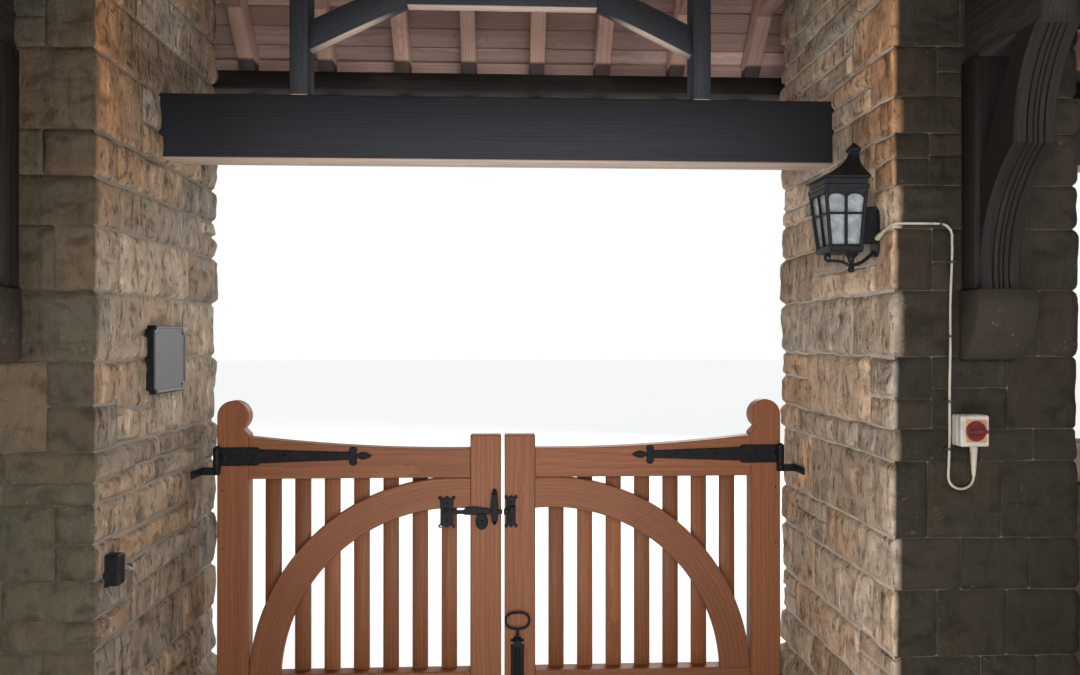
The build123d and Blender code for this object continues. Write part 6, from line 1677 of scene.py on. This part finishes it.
def frameTube(path, radius, sides):
    # a round section whose frame turns as little as it can from one point of the path to the next
    tangent = unit(np.gradient(path, axis=0))
    side, sideways = np.cross(tangent[0], [0.3, 0.2, 1.0]), []
    for direction in tangent:
        side = unit(side - direction * (side @ direction))
        sideways.append(side)
    rings = roundRings(path, radius, sides, np.array(sideways), np.cross(tangent, sideways))
    return asPart(rings, ringFaces(rings))


def buildCable():
    look, y, x = fittingLook, yIn - fittingLook["cableOut"], place["halfOpening"] - fittingLook["cableOut"]
    (glandX, glandZ), (lampY, lampZ), (reachX, reachZ), (dropX, dropZ) = (look[key]
        for key in ("gland", "lamp", "reach", "drop"))
    route = [(x, lampY, lampZ), (x, y, reachZ), (reachX, y, reachZ), (dropX, y, dropZ), (glandX, y, dropZ),
             (glandX, y, glandZ)]
    path = roundCorners(route, look["bends"], 12)
    step = np.concatenate([[0], np.cumsum(np.linalg.norm(np.diff(path, axis=0), axis=1))])
    fine = np.linspace(0, step[-1], 260)
    cable = np.stack([np.interp(fine, step, values) for values in path.T], axis=1)
    hangs = (cable[:, 2] < 1.80) & (cable[:, 2] > 1.14) & (cable[:, 0] < 1.35)
    cable[:, 0] += np.where(hangs, 0.0012 * np.sin(fine * 9.0) + 0.0008 * np.sin(fine * 23.0), 0)
    putIron("lightingCable", [frameTube(cable, 0.0036, 12)], paleSheath, "cable_sheath", 60)
    radii, along = np.array(look["entry"]).T
    entry = frameTube(np.array(route[0]) + along[:, None] * unit(np.array([0, -0.081, 0.030])), radii, 14)
    sleeve = latheTurn(look["sleeve"], (glandX, y, glandZ), 2, 18)
    putIron("cableSleeves", [sleeve, entry], paleSheath, "cable_sheath", 40, nodes=())
    # clips: a hoop over the cable, its section closed at both ends, and a nail beside it
    (radius, wide), turn, k = look["clip"], np.linspace(0, math.pi, 11), np.arange(12)[:, None]
    hoop = np.array([(radius, 0.0075), *zip(radius * np.cos(turn), -radius * np.sin(turn)), (-radius, 0.0075)])
    ring = np.zeros((2, 26, 3))
    ring[..., :2], ring[..., 2] = np.concatenate([hoop, hoop[::-1] * 0.74]), [[-wide / 2], [wide / 2]]
    ends = np.concatenate([k, k + 1, 24 - k, 25 - k], axis=1)
    faces, clips = np.concatenate([gridSurface(ring, closeU=True), ends, ends[:, [1, 0, 3, 2]] + 26]), []
    # the first clip lies along the level run, the others on the upright one
    for n, (cx, cz) in enumerate(look["clips"]):
        clips.append(asPart((ring if n else ring[..., ::-1]) + (cx, y, cz), [faces[:, ::-1] if n else faces]))
        nail = (cx - 0.0095, y + 0.0035, cz) if n else (cx, y + 0.0035, cz + 0.0095)
        clips.append(latheTurn(look["nail"], nail, 1, 12))
    putIron("cableClips", clips, clipBlack, "cable_sheath", 40, nodes=())


plaqueLook = {"y": (1.5305, 1.7835), "z": (1.3435, 1.5685), "screw": 0.024}


def buildPlaque():
    # a thick dark back, a raised rim with hollowed corners, a bare honed face and four screws
    look, wall, rng = plaqueLook, -place["halfOpening"], np.random.default_rng(380)
    (y0, y1), (z0, z1) = look["y"], look["z"]

    def hollowed(inset, cut):
        turn = np.linspace(math.pi / 2, 0, 8)
        corners = ((y1 - inset, z1 - inset, 2), (y0 + inset, z1 - inset, 3), (y0 + inset, z0 + inset, 0),
                   (y1 - inset, z0 + inset, 1))
        arcs = [(cy + cut * np.cos(turn + q * math.pi / 2), cz + cut * np.sin(turn + q * math.pi / 2))
                for cy, cz, q in corners]
        return np.concatenate(arcs, axis=1).T
    back = profileBar(hollowed(0.0, 0.014), 0, wall - 0.002, wall + 0.0255, alongZ, rng, 0.001)
    outline, inner = hollowed(0.003, 0.016), hollowed(0.010, 0.0215)
    front = profileBar(outline, 0, wall + 0.0245, wall + 0.0275, alongZ, rng, 0.001)
    # share of the inner edge, height
    levels = ((0, 0.0265), (0, 0.0295), (0.2, 0.031), (0.65, 0.031), (1, 0.0285), (1, 0.0265))
    rings = np.stack([np.insert(outline * (1 - share) + inner * share, 0, wall + out, axis=1)
                      for share, out in levels])
    rim = asPart(rings, ringFaces(rings, closed=True))
    honed, tree, shader = startMaterial("honedPlaque", 0.45)
    spot = spotOf(tree)
    cloud = noiseOf(tree, stretched(tree, spot, (1, 9, 3)), 3.0, 5.0, 0.6)
    tone = mixTone(tree, cloud, (0.062, 0.059, 0.057), (0.09, 0.086, 0.083))
    tone = mixTone(tree, patches(tree, spot, 60.0, 5.0, 0.7, 0.55, 0.75, 0.0, 0.5), tone, (0.04, 0.037, 0.035))
    finishWith(tree, shader, tone, None,
               ((noiseOf(tree, stretched(tree, spot, (1, 60, 400)), 1.0, 3.0), 0.12),), 0.0006)
    inset = look["screw"]
    screws = [domeHead(wall + 0.0272, y, z, 0.0055, 0.003, 0, 1) for y in (y0 + inset, y1 - inset)
              for z in (z0 + inset, z1 - inset)]
    putIron("plaqueFace", [front, rim], honed, "plaque_slate", 35, nodes=())
    putIron("plaqueBack", [back], blackIron, "plaque_slate", 35, nodes=["plaque"])
    putIron("plaqueScrews", screws, lanternBlack, "plaque_slate", nodes=())


def buildCatch():
    # a block on a lip, and an arm that leaves it level, bends down and thins to its tip
    wall, rng, middle = -place["halfOpening"], np.random.default_rng(390), (1.2865, 0.85)
    slabs = ((0.045, 0.09, 0.006, 0.039, 0.003), (0.053, 0.098, 0.008, 0.006, 0.0015))
    parts = [profileBar(roundedOutline(wide, high, radius, 5, middle), 0, wall - 0.002, wall + out, alongZ,
                        rng, wear)
             for wide, high, radius, out, wear in slabs]
    putIron("catchBlock", parts, blackIron, "catch_metal", nodes=())
    t = np.linspace(0, 1, 26)
    path = np.stack([wall + 0.0195 + 0.0355 * (1 - (1 - t) ** 1.5), 1.302 + 0.040 * t, 0.85 - 0.038 * t ** 2],
                    axis=1)
    size = np.interp(t, [0, 0.15, 0.25, 0.6, 0.92, 1.0], [0.0055, 0.0055, 0.0075, 0.0068, 0.0045, 0.002])
    rubbed, tree, shader = startMaterial("rubbedCatchArm", 0.34, 0.85)
    wear = noiseOf(tree, spotOf(tree), 70.0, 5.0, 0.65)
    finishWith(tree, shader, mixTone(tree, between(tree, wear, 0.35, 0.65), (0.075, 0.045, 0.042),
                                     (0.3, 0.24, 0.22)),
               between(tree, wear, 0.3, 0.7, 0.5, 0.25))
    putIron("catchArm", [frameTube(path, size, 14)], rubbed, "catch_metal", 60, nodes=["gate_catch"])


buildSwitch()
buildCable()
buildPlaque()
buildCatch()
print("lychgate: fittings built")

# floor, light and camera
stageLook = {"reach": 60, "floor": (0.86, 0.86, 0.85, 1), "floorLift": 0.26, "sky": 0.78, "backSky": 1.0}


def setStage():
    look, reach = stageLook, stageLook["reach"]
    mesh = bpy.data.meshes.new("studioFloor")
    mesh.from_pydata([(-reach, -reach, 0), (reach, -reach, 0), (reach, reach, 0), (-reach, reach, 0)], [],
                     [(0, 1, 2, 3)])
    floor = bpy.data.objects.new("studioFloor", mesh)
    bpy.context.scene.collection.objects.link(floor)
    material, tree, shader = startMaterial("paleFloor", 0.85, specular=0.1)
    shader.inputs["Base Color"].default_value = look["floor"]
    shader.inputs["Emission Color"].default_value = (1, 1, 1, 1)
    straight = addNode(tree, "LightPath").outputs["Is Camera Ray"]
    tree.links.new(between(tree, straight, 0.0, 1.0, 0.0, look["floorLift"], False),
                   shader.inputs["Emission Strength"])
    mesh.materials.append(material)
    world = bpy.data.worlds.new("studioSky")
    bpy.context.scene.world = world
    world.use_nodes = True
    tree = world.node_tree
    tree.nodes.clear()
    rays = addNode(tree, "LightPath").outputs
    seen = times(tree, rays["Is Camera Ray"], rays["Is Glossy Ray"], "MAXIMUM")
    seen = times(tree, seen, rays["Is Transmission Ray"], "MAXIMUM")
    soft = addNode(tree, "Background", None, {"Color": (0.96, 0.98, 1.0, 1), "Strength": look["sky"]})
    white = addNode(tree, "Background", None, {"Color": (1, 1, 1, 1), "Strength": look["backSky"]})
    mix = addNode(tree, "MixShader", None, {0: seen, 1: soft.outputs[0], 2: white.outputs[0]})
    addNode(tree, "OutputWorld", None, {"Surface": mix.outputs[0]})


def addLamp(name, spot, aim, size, power):
    lamp = bpy.data.lights.new(name, "AREA")
    lamp.shape, lamp.energy, (lamp.size, lamp.size_y) = "RECTANGLE", power, size
    holder = bpy.data.objects.new(name, lamp)
    bpy.context.scene.collection.objects.link(holder)
    holder.rotation_euler = Vector(np.subtract(aim, spot)).to_track_quat("-Z", "Y").to_euler()
    holder.location = spot
    holder.visible_camera = False


setStage()
for row in (("softFront", (0.6, -0.95, 2.1), (0.0, 1.9, 1.4), (1.6, 0.9), 26),
            ("hallLeft", (-2.3, -0.3, 2.2), (0.8, 1.8, 1.3), (1.0, 1.0), 16),
            ("hallRight", (2.3, -0.3, 2.2), (-0.8, 1.8, 1.3), (1.0, 1.0), 16),
            ("floorBounce", (0.0, -0.3, 0.25), (0.0, 1.0, 3.2), (2.0, 1.0), 56),
            ("roadSide", (3.5, 8.5, 5.5), (0.0, 1.6, 1.6), (5.0, 4.0), 520),
            ("yardSide", (-6.5, -8.0, 6.0), (0.0, 0.0, 2.0), (5.0, 4.0), 520)):
    addLamp(*row)
cameraLook = {"spot": (0.010, -1.137, 1.52), "pitch": 90.18, "yaw": -2.443, "lens": 27.03}
lens = bpy.data.cameras.new("viewpoint")
lens.lens, lens.sensor_width, lens.clip_start = cameraLook["lens"], 36.0, 0.02
camera = bpy.data.objects.new("viewpoint", lens)
camera.location = cameraLook["spot"]
camera.rotation_euler = (math.radians(cameraLook["pitch"]), 0, math.radians(cameraLook["yaw"]))
bpy.context.scene.collection.objects.link(camera)
bpy.context.scene.camera = camera
bpy.context.scene.view_settings.view_transform = "Standard"
print("lychgate: camera and light set")
